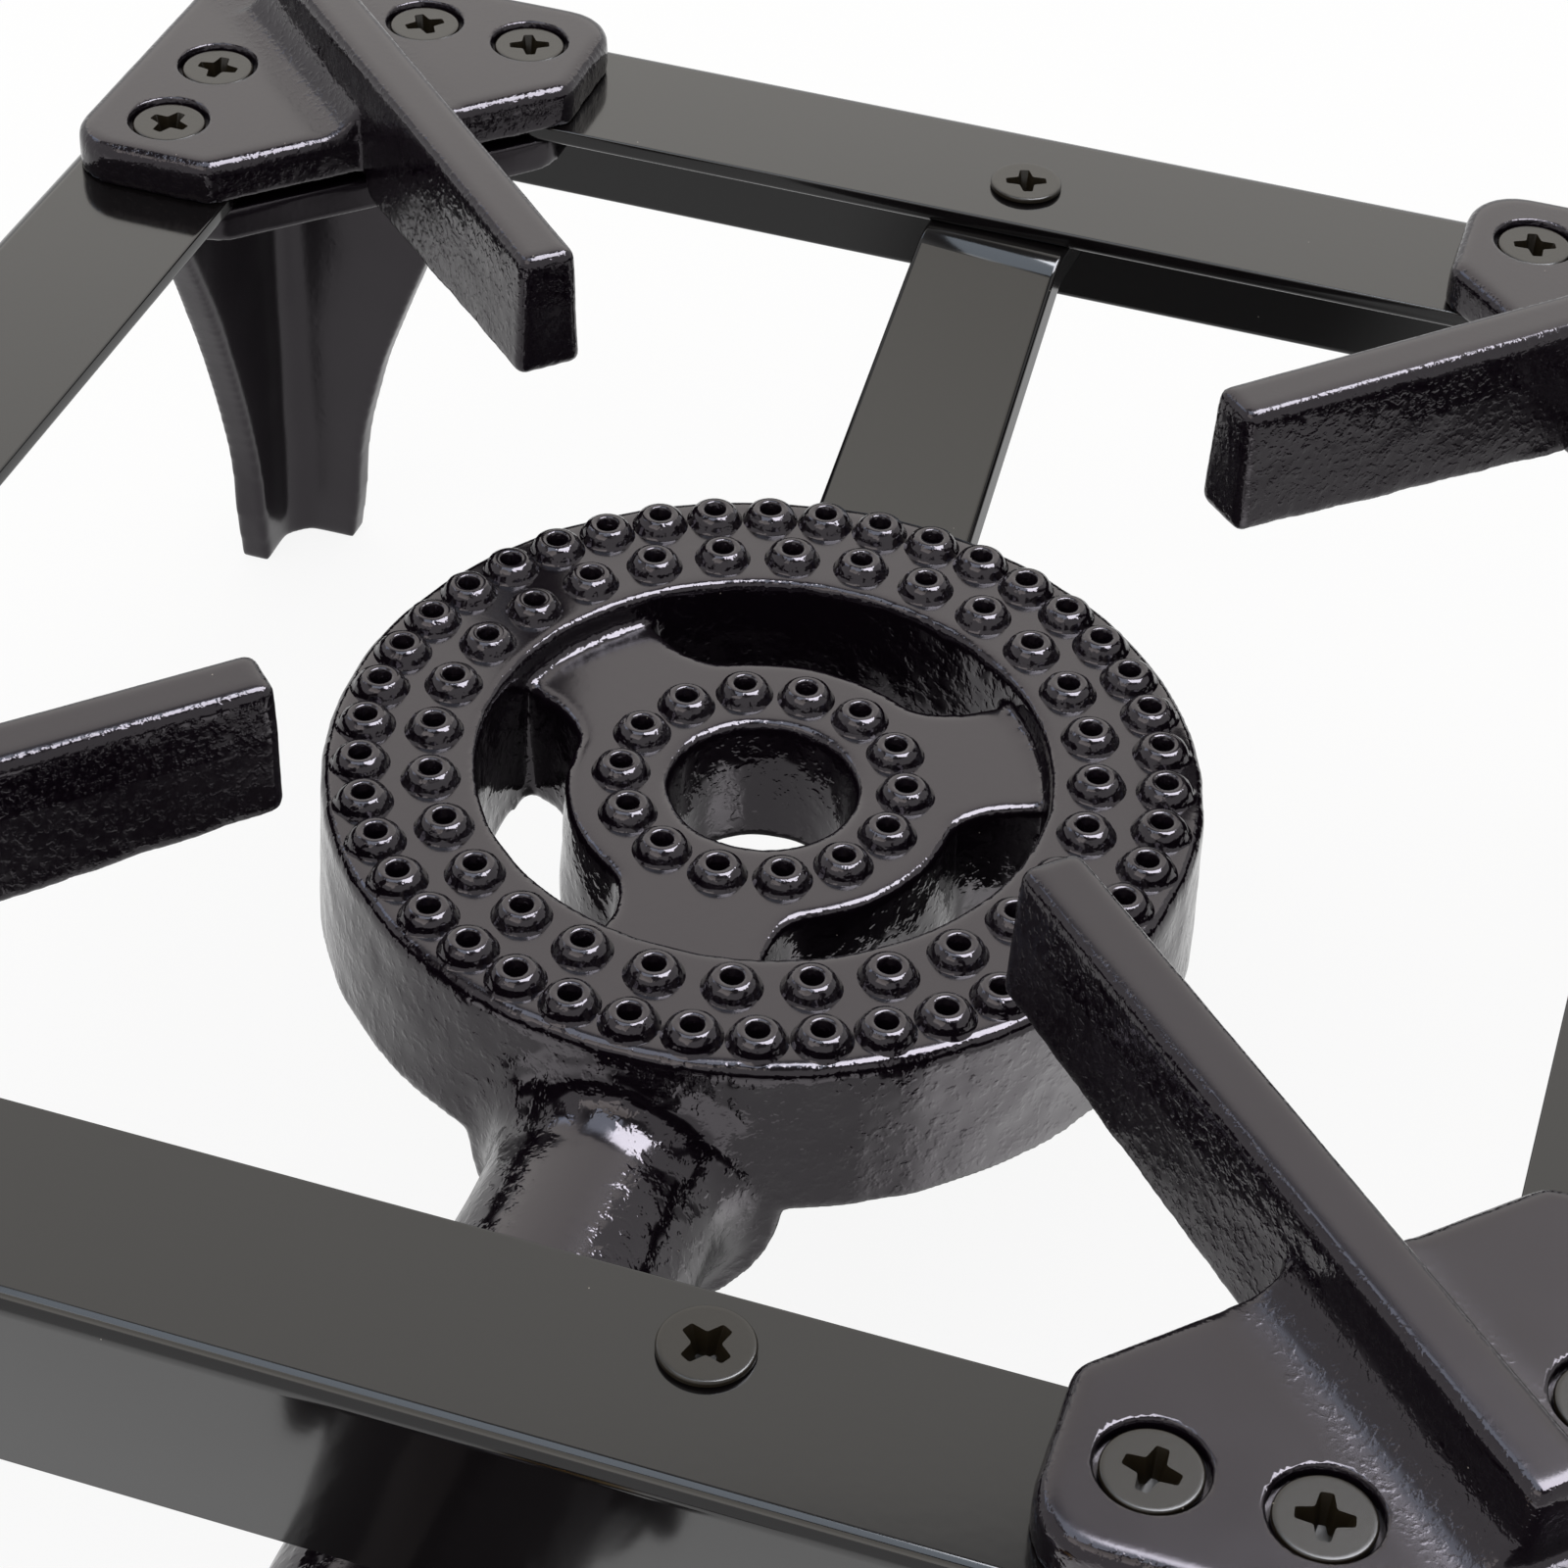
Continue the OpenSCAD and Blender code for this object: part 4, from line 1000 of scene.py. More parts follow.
def corner_outline(low: float, reach: float, inner: float) -> list[Pair]:
    """List the corners of a corner's plate or flange, from the frame's outer corner.

    Args:
        low: How far its outer edges lie inside the frame's.
        reach: How far it reaches along the rails.
        inner: How far its inner corners lie from the frame's outer edge.

    Returns:
        The outline's corners.
    """
    return [(low, low), (reach, low), (reach, inner), (inner, reach), (low, reach)]


@dataclass
class PanSupports:
    """The four corner castings: a plate on the rails and a pan support that reaches inwards."""

    datum: Datum
    thick: float = 10.0
    inset: float = 2.0
    reach: float = 99.0
    inner: float = 37.0
    wing_round: float = 12.0
    diagonal_round: float = 5.0
    plate_edge: float = 3.0
    finger_width: float = 12.0
    finger_draft: float = 3.0
    finger_height: float = 26.0
    finger_drop: float = 2.0
    root_drop: float = 6.0
    inner_end: float = 101.0
    corner_gap: float = 34.0
    finger_edge: float = 2.2
    fillet: float = 9.0
    ramp: float = 3.0
    pocket_radius: float = 8.9
    pocket_rim: float = 0.4
    pocket_depth: float = 0.9
    pocket_gap: float = 2.1
    hole_radius: float = 5.2
    hole_depth: float = 7.0
    screw_in: float = 21.0
    screw_near: float = 57.0
    screw_far: float = 83.0
    voxel: float = 0.8

    @property
    def outer_end(self) -> float:
        """Give the distance of the pan support's outer end from the burner's axis."""
        return self.datum.half * math.sqrt(2) - self.corner_gap

    @property
    def diagonal(self) -> float:
        """Give the distance of the plate's diagonal edge from the burner's axis."""
        return self.datum.half * math.sqrt(2) - (self.inner + self.reach) / math.sqrt(2)

    def half_width(self, height: float) -> float:
        """Give half of the pan support's width at a height above the rails."""
        low = self.finger_height + self.root_drop
        return (self.finger_width + self.finger_draft * (self.finger_height - height) / low) / 2

    def along_diagonal(self) -> Matrix:
        """Give the place of a part that is drawn along the corner's diagonal from the axis."""
        half = self.datum.half
        return Matrix.Translation((half, half, 0.0)) @ Matrix.Rotation(math.pi / 4, 4, "Z")

    def plate(self) -> Workpiece:
        """Shape the corner plate.

        Returns:
            The plate.
        """
        outline = corner_outline(self.inset, self.reach, self.inner)
        wing, diagonal = self.wing_round, self.diagonal_round
        rounds = {0: wing, 1: wing, 2: diagonal, 3: diagonal, 4: wing}
        plate = Workpiece.prism(outline, 0.0, self.thick, rounds)
        rim = [
            e for e in plate.mesh.edges
            if all(v.co.z > self.thick - 0.01 for v in e.verts)
        ]
        bmesh.ops.bevel(
            plate.mesh, geom=rim, offset=self.plate_edge, offset_type="OFFSET", segments=5,
            profile=0.5, affect="EDGES", clamp_overlap=True, material=-1,
        )
        return plate

    def finger(self) -> Workpiece:
        """Shape the pan support, with its draft and its rounded edges.

        Returns:
            The pan support.
        """
        beside = -self.diagonal - 1.0
        side = [
            (-self.outer_end, 1.0), (beside, 1.0), (beside + self.ramp, -self.root_drop),
            (-self.inner_end, -self.finger_drop), (-self.inner_end, self.finger_height),
            (-self.outer_end, self.finger_height),
        ]
        finger = Workpiece.prism(side, -1.0, 1.0)
        for vertex in finger.mesh.verts:
            along, height, flank = vertex.co
            vertex.co = (along, flank * self.half_width(height), height)
        return finger.outwards().round_edges(self.finger_edge, 4, 20.0).move(self.along_diagonal())

    def fillets(self) -> Workpiece:
        """Shape the two fillets between the pan support and the plate.

        Returns:
            The fillets.
        """
        root = self.half_width(self.thick)
        foot = self.thick - 1.5
        top = self.thick + self.fillet + 2.0
        toe, lean = root + self.fillet + 2.0, self.half_width(top)
        section = [
            (0.0, foot), (toe, foot), (toe, self.thick), (root, self.thick), (lean, top), (0.0, top),
        ]
        fillets = Workpiece()
        for flank in (1.0, -1.0):
            half = Workpiece.prism(
                section, -self.outer_end + 1.0, -self.diagonal - 0.8, {3: self.fillet}, 8,
            )
            half.round_edges(2.5, 4, 60.0)
            for vertex in half.mesh.verts:
                side, height, along = vertex.co
                vertex.co = (along, flank * side, height)
            fillets.add(half.outwards())
        return fillets.move(self.along_diagonal())

    def screw_places(self) -> list[Pair]:
        """List the places of the corner's four screws, from the frame's corner."""
        return [
            place for far in (self.screw_near, self.screw_far)
            for place in ((far, self.screw_in), (self.screw_in, far))
        ]

    def pockets(self) -> Workpiece:
        """Shape the cuts for the four pockets, which leave a gap round and below the screws' heads.

        Returns:
            The cuts.
        """
        low, high = self.thick - self.pocket_depth - self.pocket_gap, self.finger_height + 5.0
        radius = self.pocket_radius
        top, wide = self.thick - self.pocket_rim, radius + self.pocket_rim
        hole, bottom = self.hole_radius, self.thick - self.hole_depth
        profile = [
            (0.0, bottom), (hole, bottom), (hole, low), (radius, low), (radius, top), (wide, self.thick),
            (wide, high), (0.0, high),
        ]
        cuts = Workpiece()
        for x, y in self.screw_places():
            cuts.add(Workpiece.spun(profile, steps=56).shift(x, y))
        return cuts

    def casting(self) -> Workpiece:
        """Run the plate, the pan support and the fillets together.

        Returns:
            One corner casting.
        """
        casting = self.plate().add(self.finger(), self.fillets()).fuse(self.voxel).soften(3)
        return casting.combine(self.pockets(), Joining.DIFFERENCE)

    def roughness_of(self, place: Vector, normal: Vector) -> float:
        """Keep the ground tops flat and the sides uneven, most of all low down."""
        low = max(0.0, min(1.0, (self.datum.rail_top + 4.0 - place.z) / 8.0))
        return (1.0 - max(0.0, normal.z)) * (1.0 + 1.5 * low)

    def build(self) -> None:
        """Put the four castings in place."""
        blank = self.casting()
        for number, corner in enumerate(CORNERS):
            piece = blank.copy().move(self.datum.corner(number))
            piece.ripple(0.12, 7.0, self.roughness_of).ripple(0.06, 2.0, self.roughness_of)
            name = "pan_support_" + corner
            piece.deliver("pan_support_cast_" + corner, CORNER_CASTING, [name], smooth_to=80.0)
        blank.mesh.free()


@dataclass
class Legs:
    """The four cast legs, each an angle of two curved walls with a flange under the rails."""

    datum: Datum
    inset: float = 4.5
    wall: float = 8.0
    flange: float = 8.0
    under_rail: float = 4.0
    foot: float = 24.0
    spread: float = 50.0
    curve: float = 1.7
    ankle: float = 1.5
    ankle_height: float = 12.0
    ankle_spread: float = 13.0
    reach: float = 95.0
    setback: float = 4.0
    wing_round: float = 6.0
    diagonal_round: float = 5.0
    fillet: float = 7.0
    voxel: float = 1.0

    @property
    def top(self) -> float:
        """Give the height of the flange's underside above the floor."""
        return self.datum.rail_top - self.under_rail - self.flange

    def width(self, height: float) -> float:
        """Give the width of a wall at a height above the floor.

        Args:
            height: The height.

        Returns:
            The width, with the slight bulge above the foot.
        """
        bulge = self.ankle * math.exp(-((height - self.ankle_height) / self.ankle_spread) ** 2)
        return self.foot + self.spread * (height / self.top) ** self.curve + bulge

    def wall_blank(self) -> Workpiece:
        """Shape one wall, drawn along X from the leg's corner, floor at zero.

        Returns:
            The wall.
        """
        steps = 20
        heights = [self.top * i / steps for i in range(steps + 1)]
        outline = [(0.0, 0.0), *((self.width(h), h) for h in heights), (0.0, self.top)]
        wall = Workpiece.prism(outline, 0.0, self.wall)
        for vertex in wall.mesh.verts:
            along, height, across = vertex.co
            vertex.co = (along, across, height)
        return wall.outwards()

    def casting(self, inner: float) -> Workpiece:
        """Run the walls, the flange and the inner fillet together.

        Args:
            inner: Distance of the flange's inner corner from the frame's outer edge.

        Returns:
            One leg, floor at zero.
        """
        low = self.inset
        outline = corner_outline(low, self.reach, inner)
        wing, diagonal = self.wing_round, self.diagonal_round
        rounds = {0: wing, 1: wing, 2: diagonal, 3: diagonal, 4: wing}
        leg = Workpiece.prism(outline, self.top, self.top + self.flange, rounds)
        swap = Matrix(((0, 1, 0, 0), (1, 0, 0, 0), (0, 0, 1, 0), (0, 0, 0, 1)))
        first = self.wall_blank()
        second = first.copy().move(swap).outwards()
        root = self.wall + self.fillet + 1.0
        wall, start = self.wall, 0.5
        corner = [(start, start), (root, start), (root, wall), (wall, wall), (wall, root), (start, root)]
        inside = Workpiece.prism(corner, 0.0, self.top + 1.0, {3: self.fillet}, 8)
        leg.add(*(part.shift(low, low) for part in (first, second, inside)))
        return leg.fuse(self.voxel).soften(5)

    def unevenness(self, place: Vector, normal: Vector) -> float:
        """Leave the flange's flat top alone."""
        return 0.0 if place.z > self.top + self.flange - 1.0 else 1.0

    def build(self, inner: float) -> None:
        """Put the four legs in place.

        Args:
            inner: Distance of the plate's inner corner from the frame's outer edge.
        """
        blank = self.casting(inner)
        for number, corner in enumerate(CORNERS):
            place = Matrix.Translation((0.0, 0.0, -self.datum.rail_top))
            piece = blank.copy().move(self.datum.corner(number) @ place)
            piece.ripple(0.3, 16.0, self.unevenness)
            for vertex in piece.mesh.verts:
                vertex.co.z = max(vertex.co.z, 0.0)
            piece.deliver("leg_cast_" + corner, LEG_CASTING, ["leg_" + corner], smooth_to=80.0)
        blank.mesh.free()


@dataclass
class Fasteners:
    """The countersunk screws, the nuts and the two bolts under the burner."""

    datum: Datum
    head: float = 16.0
    land: float = 1.0
    thread: float = 8.0
    recess_long: float = 9.6
    recess_wide: float = 2.2
    recess_inner: float = 1.75
    recess_depth: float = 5.0
    recess_taper: float = 0.5
    neck: float = 1.5
    nut_across: float = 13.0
    nut_thick: float = 6.5
    tail: float = 2.0

    def recess(self) -> Workpiece:
        """Shape the cut of the cross recess, narrower at its bottom.

        Returns:
            The cut.
        """
        long, wide, inner = self.recess_long / 2, self.recess_wide / 2, self.recess_inner
        arm = [Vector((long, -wide)), Vector((long, wide)), Vector((inner, inner))]
        star = [tuple(Matrix.Rotation(i * math.pi / 2, 2) @ point) for i in range(4) for point in arm]
        rounds = {number: 0.45 if number % 3 < 2 else 0.6 for number in range(12)}
        cut = Workpiece.prism(star, -self.recess_depth, 0.6, rounds, 3)
        for vertex in cut.mesh.verts:
            if vertex.co.z < 0:
                vertex.co.x *= self.recess_taper
                vertex.co.y *= self.recess_taper
        return cut

    def screw(self, length: float) -> Workpiece:
        """Shape a countersunk screw with its head's top at zero.

        Args:
            length: The whole length.

        Returns:
            The screw.
        """
        radius, shank = self.head / 2, self.thread / 2
        low = self.land + radius - shank
        end = low + self.neck
        head = Workpiece.spun(
            [(0.0, -end), (shank, -end), (shank, -low), (radius, -self.land), (radius, 0.0),
             (radius - 1.0, 0.0), (0.0, 0.0)],
            {4: 0.5}, steps=64,
        )
        head.combine(self.recess(), Joining.DIFFERENCE)
        thread = self.threaded(shank, 1.25, length - end + 0.5)
        return head.add(thread.shift(z=-length))

    @staticmethod
    def threaded(radius: float, pitch: float, length: float, steps: int = 24) -> Workpiece:
        """Shape a threaded bar from zero upwards, its thread drawn as close rings.

        Args:
            radius: The thread's outer radius.
            pitch: The distance between crests.
            length: The bar's length.
            steps: The steps round it.

        Returns:
            The bar.
        """
        count = max(2, int(length / pitch))
        depth = 0.55 * pitch
        rings = [
            point for i in range(count)
            for point in ((radius - depth, i * length / count), (radius, (i + 0.5) * length / count))
        ]
        return Workpiece.spun([(0.0, 0.0), *rings, (radius - depth, length), (0.0, length)], steps=steps)

    @staticmethod
    def hexagon(across: float, length: float, slant: float = 0.552) -> Workpiece:
        """Shape a hexagonal bar from zero upwards, its corners turned off at both ends.

        Args:
            across: The width across the flats.
            length: The bar's length.
            slant: How far the turned-off corners fall along the bar for each millimetre outwards.

        Returns:
            The bar.
        """
        radius = across / math.sqrt(3)
        points = [(radius * math.cos(i * math.pi / 3), radius * math.sin(i * math.pi / 3)) for i in range(6)]
        bar = Workpiece.prism(points, 0.0, length)
        flat, slope = across / 2 * 0.98, (radius - across / 2) * 1.1
        drop = slope * slant
        turned = Workpiece.spun([
            (0.0, 0.0), (flat, 0.0), (flat + slope, drop), (flat + slope, length - drop),
            (flat, length), (0.0, length),
        ], steps=96)
        return bar.combine(turned, Joining.INTERSECT)

    def nut(self) -> Workpiece:
        """Shape a nut from zero upwards."""
        return self.hexagon(self.nut_across, self.nut_thick)

    def corner_sets(self, supports: PanSupports, flange_low: float) -> None:
        """Put the corners' screws and nuts in place.

        Args:
            supports: The corner castings that the screws hold.
            flange_low: Height of the leg flanges' underside above the floor.
        """
        head_top = self.datum.rail_top + supports.thick - supports.pocket_depth
        length = head_top - flange_low + self.nut_thick + self.tail
        screw, nut = self.screw(length), self.nut()
        screws, nuts = Workpiece(), Workpiece()
        for number in range(len(CORNERS)):
            for index, (x, y) in enumerate(supports.screw_places()):
                turn = Matrix.Rotation(math.radians(37 * index + 61 * number), 4, "Z")
                place = self.datum.corner(number) @ Matrix.Translation((x, y, head_top - self.datum.rail_top))
                screws.add(screw.copy().move(place @ turn))
                under = Matrix.Translation((0.0, 0.0, flange_low - self.nut_thick - head_top))
                nuts.add(nut.copy().move(place @ under @ turn))
        screw.mesh.free()
        nut.mesh.free()
        screws.deliver("corner_screws_recessed", SCREW_ENAMEL, ["corner_screws"])
        nuts.deliver("corner_nuts_chamfered", SCREW_ENAMEL, ["corner_nuts"])


@dataclass
class Burner:
    """The burner casting: ring, hub, spokes, mixing tube, bell and bridge in one piece."""

    datum: Datum
    ring_radius: float = 88.0
    draft: float = 1.5
    core_draft: float = 1.2
    bore_draft: float = 2.4
    bore_radius: float = 56.5
    height: float = 35.5
    top_edge: float = 2.5
    inner_edge: float = 1.2
    step: float = 6.5
    hub_radius: float = 39.0
    hub_bore: float = 18.5
    opening_half: int = 43
    opening_round: float = 14.0
    rim: float = 1.4
    tube_radius: float = 23.0
    tube_bore: float = 18.5
    tube_start: float = -79.5
    bell_length: float = 44.0
    bell_radius: float = 32.0
    bell_wall: float = 4.0
    root_fillet: float = 8.0
    mouth: float = -252.0
    bridge_reach: float = 32.0
    bridge_thick: float = 8.0
    arm_thick: float = 6.0
    arm_high: float = 14.0
    arm_lap: float = 8.0
    arm_bite: float = 1.5
    boss_proud: float = 4.0
    boss_radius: float = 13.0
    lug_radius: float = 8.0
    lug_high: float = 10.0
    lug_place: float = -172.0
    lip: float = 3.0
    lip_round: float = 1.9
    blind_end: float = 6.0
    voxel: float = 1.1

    @property
    def low(self) -> float:
        """Give the height of the ring's underside."""
        return self.datum.burner_top - self.height

    @property
    def hub_top(self) -> float:
        """Give the height of the hub's top face."""
        return self.datum.burner_top - self.step

    @property
    def lug_low(self) -> float:
        """Give the height of the underside of the lug below the mixing tube."""
        return self.datum.gas_z - self.tube_radius - self.lug_high

    def ring(self) -> Workpiece:
        """Shape the ring.

        Returns:
            The ring.
        """
        outer, top, inner = self.ring_radius, self.datum.burner_top, self.bore_radius
        return Workpiece.spun(
            [(inner - self.core_draft, self.low), (outer, self.low), (outer - self.draft, top), (inner, top)],
            {1: 1.5, 2: self.top_edge, 3: self.inner_edge}, steps=120,
        )

    def opening_edge(self, angle: float) -> float:
        """Give the inner radius of an opening at an angle from its middle, in degrees."""
        share = max(0.0, abs(angle) - self.opening_half + self.opening_round) / self.opening_round
        outwards = 1 - math.sqrt(max(0.0, 1 - share * share))
        return self.hub_radius + (self.bore_radius - self.hub_radius) * outwards

    def hub(self) -> Workpiece:
        """Shape the hub with its three spokes, which end inside the ring.

        Returns:
            The hub and the spokes.
        """
        outline = []
        for middle in (90, 210, 330):
            for angle in range(-self.opening_half, self.opening_half + 1, 2):
                radius, turn = self.opening_edge(angle), math.radians(middle + angle)
                outline.append((radius * math.cos(turn), radius * math.sin(turn)))
            for angle in (middle + self.opening_half + 1, middle + 119 - self.opening_half):
                radius, turn = self.bore_radius + 3.0, math.radians(angle)
                outline.append((radius * math.cos(turn), radius * math.sin(turn)))
        hub = Workpiece.prism(outline, self.low, self.hub_top)
        for vertex in hub.mesh.verts:
            if vertex.co.z < self.low + 1.0:
                wider = 1.0 + self.core_draft / vertex.co.xy.length
                vertex.co.x *= wider
                vertex.co.y *= wider
        rim = [
            e for e in hub.mesh.edges
            if len({round(v.co.z, 3) for v in e.verts}) == 1
        ]
        bmesh.ops.bevel(
            hub.mesh, geom=rim, offset=self.rim, offset_type="OFFSET", segments=3,
            profile=0.5, affect="EDGES", clamp_overlap=True, material=-1,
        )
        bore, rim_r = self.hub_bore, self.hub_bore + self.rim
        low_bore, low_rim = bore - self.bore_draft, rim_r - self.bore_draft
        low, top, round_off = self.low, self.hub_top, 0.3 * self.rim
        cutter = Workpiece.spun([
            (0.0, low - 2.0), (low_rim, low - 2.0), (low_rim, low), (low_bore, low + self.rim),
            (bore, top - self.rim), (bore + round_off, top - round_off),
            (rim_r, top), (rim_r, top + 2.0), (0.0, top + 2.0),
        ], steps=64)
        return hub.combine(cutter, Joining.DIFFERENCE)

    def flare(self, start: float, end: float, length: float) -> list[Pair]:
        """List points of a flare that starts along the tube and opens to the bell's lip.

        Args:
            start: The radius of the tube.
            end: The radius of the lip.
            length: The distance of the lip from the tube's start.

        Returns:
            The points, as radius and distance.
        """
        steps = 12
        points = []
        for i in range(steps + 1):
            angle = math.pi / 2 * i / steps
            along = length - self.bell_length + (self.bell_length - self.lip) * math.sin(angle)
            points.append((start + (end - start) * (1 - math.cos(angle)), along))
        return points

    def tube(self) -> Workpiece:
        """Shape the mixing tube and its bell, with a round end under the ring.

        Returns:
            The tube, in the burner's place.
        """
        length = self.tube_start - self.mouth
        radius, bore = self.tube_radius, self.tube_bore
        end = [
            (radius * math.sin(math.pi / 16 * i), -radius * math.cos(math.pi / 16 * i)) for i in range(8)
        ]
        lip = self.bell_radius - self.bell_wall
        outside = self.flare(radius, self.bell_radius, length)
        inside = self.flare(bore, lip, length)
        profile = [
            *end, *outside, (self.bell_radius, length), (lip, length), *reversed(inside),
            (bore, self.blind_end), (0.0, self.blind_end),
        ]
        first = len(end) + len(outside)
        rounds = {first: self.lip_round, first + 1: self.lip_round}
        return self.laid(Workpiece.spun(profile, rounds, steps=96), self.tube_start)

    def laid(self, piece: Workpiece, y: float) -> Workpiece:
        """Lay a piece along the gas axis, in a frame whose origin is the burner's axis."""
        place = Matrix.Translation((0.0, y, self.datum.gas_z))
        return piece.move(place @ Matrix.Rotation(math.pi / 2, 4, "X"))

    def root(self) -> Workpiece:
        """Shape the fillet between the tube and the ring's round wall.

        Returns:
            The fillet.
        """
        radius, fillet, steps = self.tube_radius, self.root_fillet, 8
        arc = []
        for i in range(steps + 1):
            angle = math.pi / 2 * i / steps
            arc.append((radius + fillet * (1 - math.sin(angle)), fillet * (1 - math.cos(angle))))
        profile = [(radius - 2.0, -4.0), (radius + fillet, -4.0), *arc, (radius - 2.0, fillet)]
        collar = self.laid(Workpiece.spun(profile, steps=96), 0.0)
        for vertex in collar.mesh.verts:
            wall = math.sqrt(self.ring_radius ** 2 - vertex.co.x ** 2) - 0.4
            vertex.co.y -= wall
        return collar

    def bridge(self) -> Workpiece:
        """Shape the bridge in front of the bell that carries the injector holder.

        Returns:
            The bridge.
        """
        inner = self.bell_radius - self.arm_bite
        outer = inner + self.arm_thick
        back = self.mouth + self.arm_lap
        cross_back = self.mouth - self.bridge_reach
        front = cross_back - self.bridge_thick
        low, high = self.datum.gas_z - self.arm_high / 2, self.datum.gas_z + self.arm_high / 2
        plan = [
            (-outer, back), (-outer, front), (outer, front), (outer, back),
            (inner, back), (inner, cross_back), (-inner, cross_back), (-inner, back),
        ]
        rounds = {1: 7.0, 2: 7.0, 5: 3.0, 6: 3.0}
        bridge = Workpiece.prism(plan, low, high, rounds).round_edges(1.8, 3, 40.0)
        boss = Workpiece.spun(
            [(0.0, 0.0), (self.boss_radius, 0.0), (self.boss_radius, self.bridge_thick + 2 * self.boss_proud),
             (0.0, self.bridge_thick + 2 * self.boss_proud)],
            {1: 1.2, 2: 1.2}, steps=48,
        )
        return bridge.add(self.laid(boss, cross_back + self.boss_proud))

    def lug(self) -> Workpiece:
        """Shape the lug below the mixing tube, which ends inside the tube's wall."""
        high = self.lug_low + self.lug_high + 0.8 * (self.tube_radius - self.tube_bore)
        radius = self.lug_radius
        profile = [(0.0, self.lug_low), (radius, self.lug_low), (radius, high), (0.0, high)]
        return Workpiece.spun(profile, {1: 1.0}, steps=40).shift(y=self.lug_place)

    def wells(self, places: Sequence[Triple], radius: float, depth: float) -> Workpiece:
        """Shape the cuts below the flame ports.

        Args:
            places: The ports' places round the burner's axis.
            radius: The cuts' radius.
            depth: Their depth.

        Returns:
            The cuts.
        """
        cuts = Workpiece()
        for x, y, z in places:
            low, high = z - depth, z + 4.0
            cut = Workpiece.spun([(0.0, low), (radius, low), (radius, high), (0.0, high)], steps=10)
            cuts.add(cut.shift(x, y))
        return cuts

    def unevenness(self, place: Vector, normal: Vector) -> float:
        """Keep the ground tops flat."""
        return 1.0 - max(0.0, normal.z) ** 4

    def build(self, ports: "FlamePorts") -> None:
        """Put the casting and its flame ports in place.

        Args:
            ports: The flame ports.
        """
        casting = self.ring()
        casting.combine(self.wells(ports.on_ring(), ports.well_radius, ports.well_depth), Joining.DIFFERENCE)
        hub = self.hub()
        hub.combine(self.wells(ports.on_hub(), ports.well_radius, ports.well_depth), Joining.DIFFERENCE)
        casting.add(hub, self.tube(), self.root(), self.bridge(), self.lug())
        casting.fuse(self.voxel).soften(2)
        casting.move(self.datum.burner()).ripple(0.3, 8.0, self.unevenness)
        casting.deliver("burner_casting_enamelled", CASTING, casting_nodes(), smooth_to=80.0)


@dataclass
class FlamePorts:
    """The small drilled bosses in three circles on the ring and the hub."""

    burner: Burner
    outer: Pair = (78.8, 42)
    middle: Pair = (65.3, 28)
    inner: Pair = (28.2, 14)
    height: float = 3.0
    base: float = 5.3
    crown: float = 3.8
    hole: float = 2.15
    wall: float = 4.5
    well_radius: float = 3.4
    well_depth: float = 11.0

    def circle(self, ring: Pair, z: float) -> list[Triple]:
        """List the ports of one circle, one of them at the back.

        Args:
            ring: The circle's radius and its number of ports.
            z: The height of the face that they stand on.

        Returns:
            Their places round the burner's axis.
        """
        radius, count = ring
        turns = [math.pi / 2 + FULL_TURN * i / count for i in range(int(count))]
        return [(radius * math.cos(t), radius * math.sin(t), z) for t in turns]

    def on_ring(self) -> list[Triple]:
        """List the places of the ports on the ring."""
        top = self.burner.datum.burner_top
        return self.circle(self.outer, top) + self.circle(self.middle, top)

    def on_hub(self) -> list[Triple]:
        """List the places of the ports on the hub."""
        return self.circle(self.inner, self.burner.hub_top)

    def boss(self) -> Workpiece:
        """Shape one boss, with its domed side, its flat crown and its hole.

        Returns:
            The boss, standing on zero.
        """
        tall, base, crown, hole = self.height, self.base, self.crown, self.hole
        return Workpiece.spun([
            (hole, -self.wall), (base, -self.wall), (base + 0.9, -0.25), (base + 0.35, 0.2),
            (base + 0.05, 0.75), (base - 0.25, 1.5), (base - 0.75, 2.3), (crown, tall - 0.2),
            (crown - 0.35, tall), (hole + 0.3, tall), (hole, tall - 0.3),
        ], steps=28)

    def build(self) -> None:
        """Put all the bosses in place."""
        boss, ports = self.boss(), Workpiece()
        for x, y, z in self.on_ring() + self.on_hub():
            ports.add(boss.copy().shift(x, y, z))
        boss.mesh.free()
        ports.move(self.burner.datum.burner())
        ports.deliver("flame_ports_drilled", CASTING, [], smooth_to=50.0)


@dataclass(frozen=True)
class Hanger:
    """The form of one strap, along the line from its rail screw to its burner bolt.

    Attributes:
        node: The strap's CAD node.
        screw: The place of the rail screw round the burner's axis.
        bolt: The place of the burner bolt.
        low: The height of the face that the strap is bolted to.
        bend: The distance from the screw to the upper bend.
        low_bend: The distance from the screw to the lower bend.
        at_rail: The strap's width at its rail end.
        at_bolt: Its width at its bolt end.
        spin: The turn of its screw's recess, in degrees.
    """

    node: str
    screw: Vector
    bolt: Vector
    low: float
    bend: float
    low_bend: float
    at_rail: float
    at_bolt: float
    spin: float


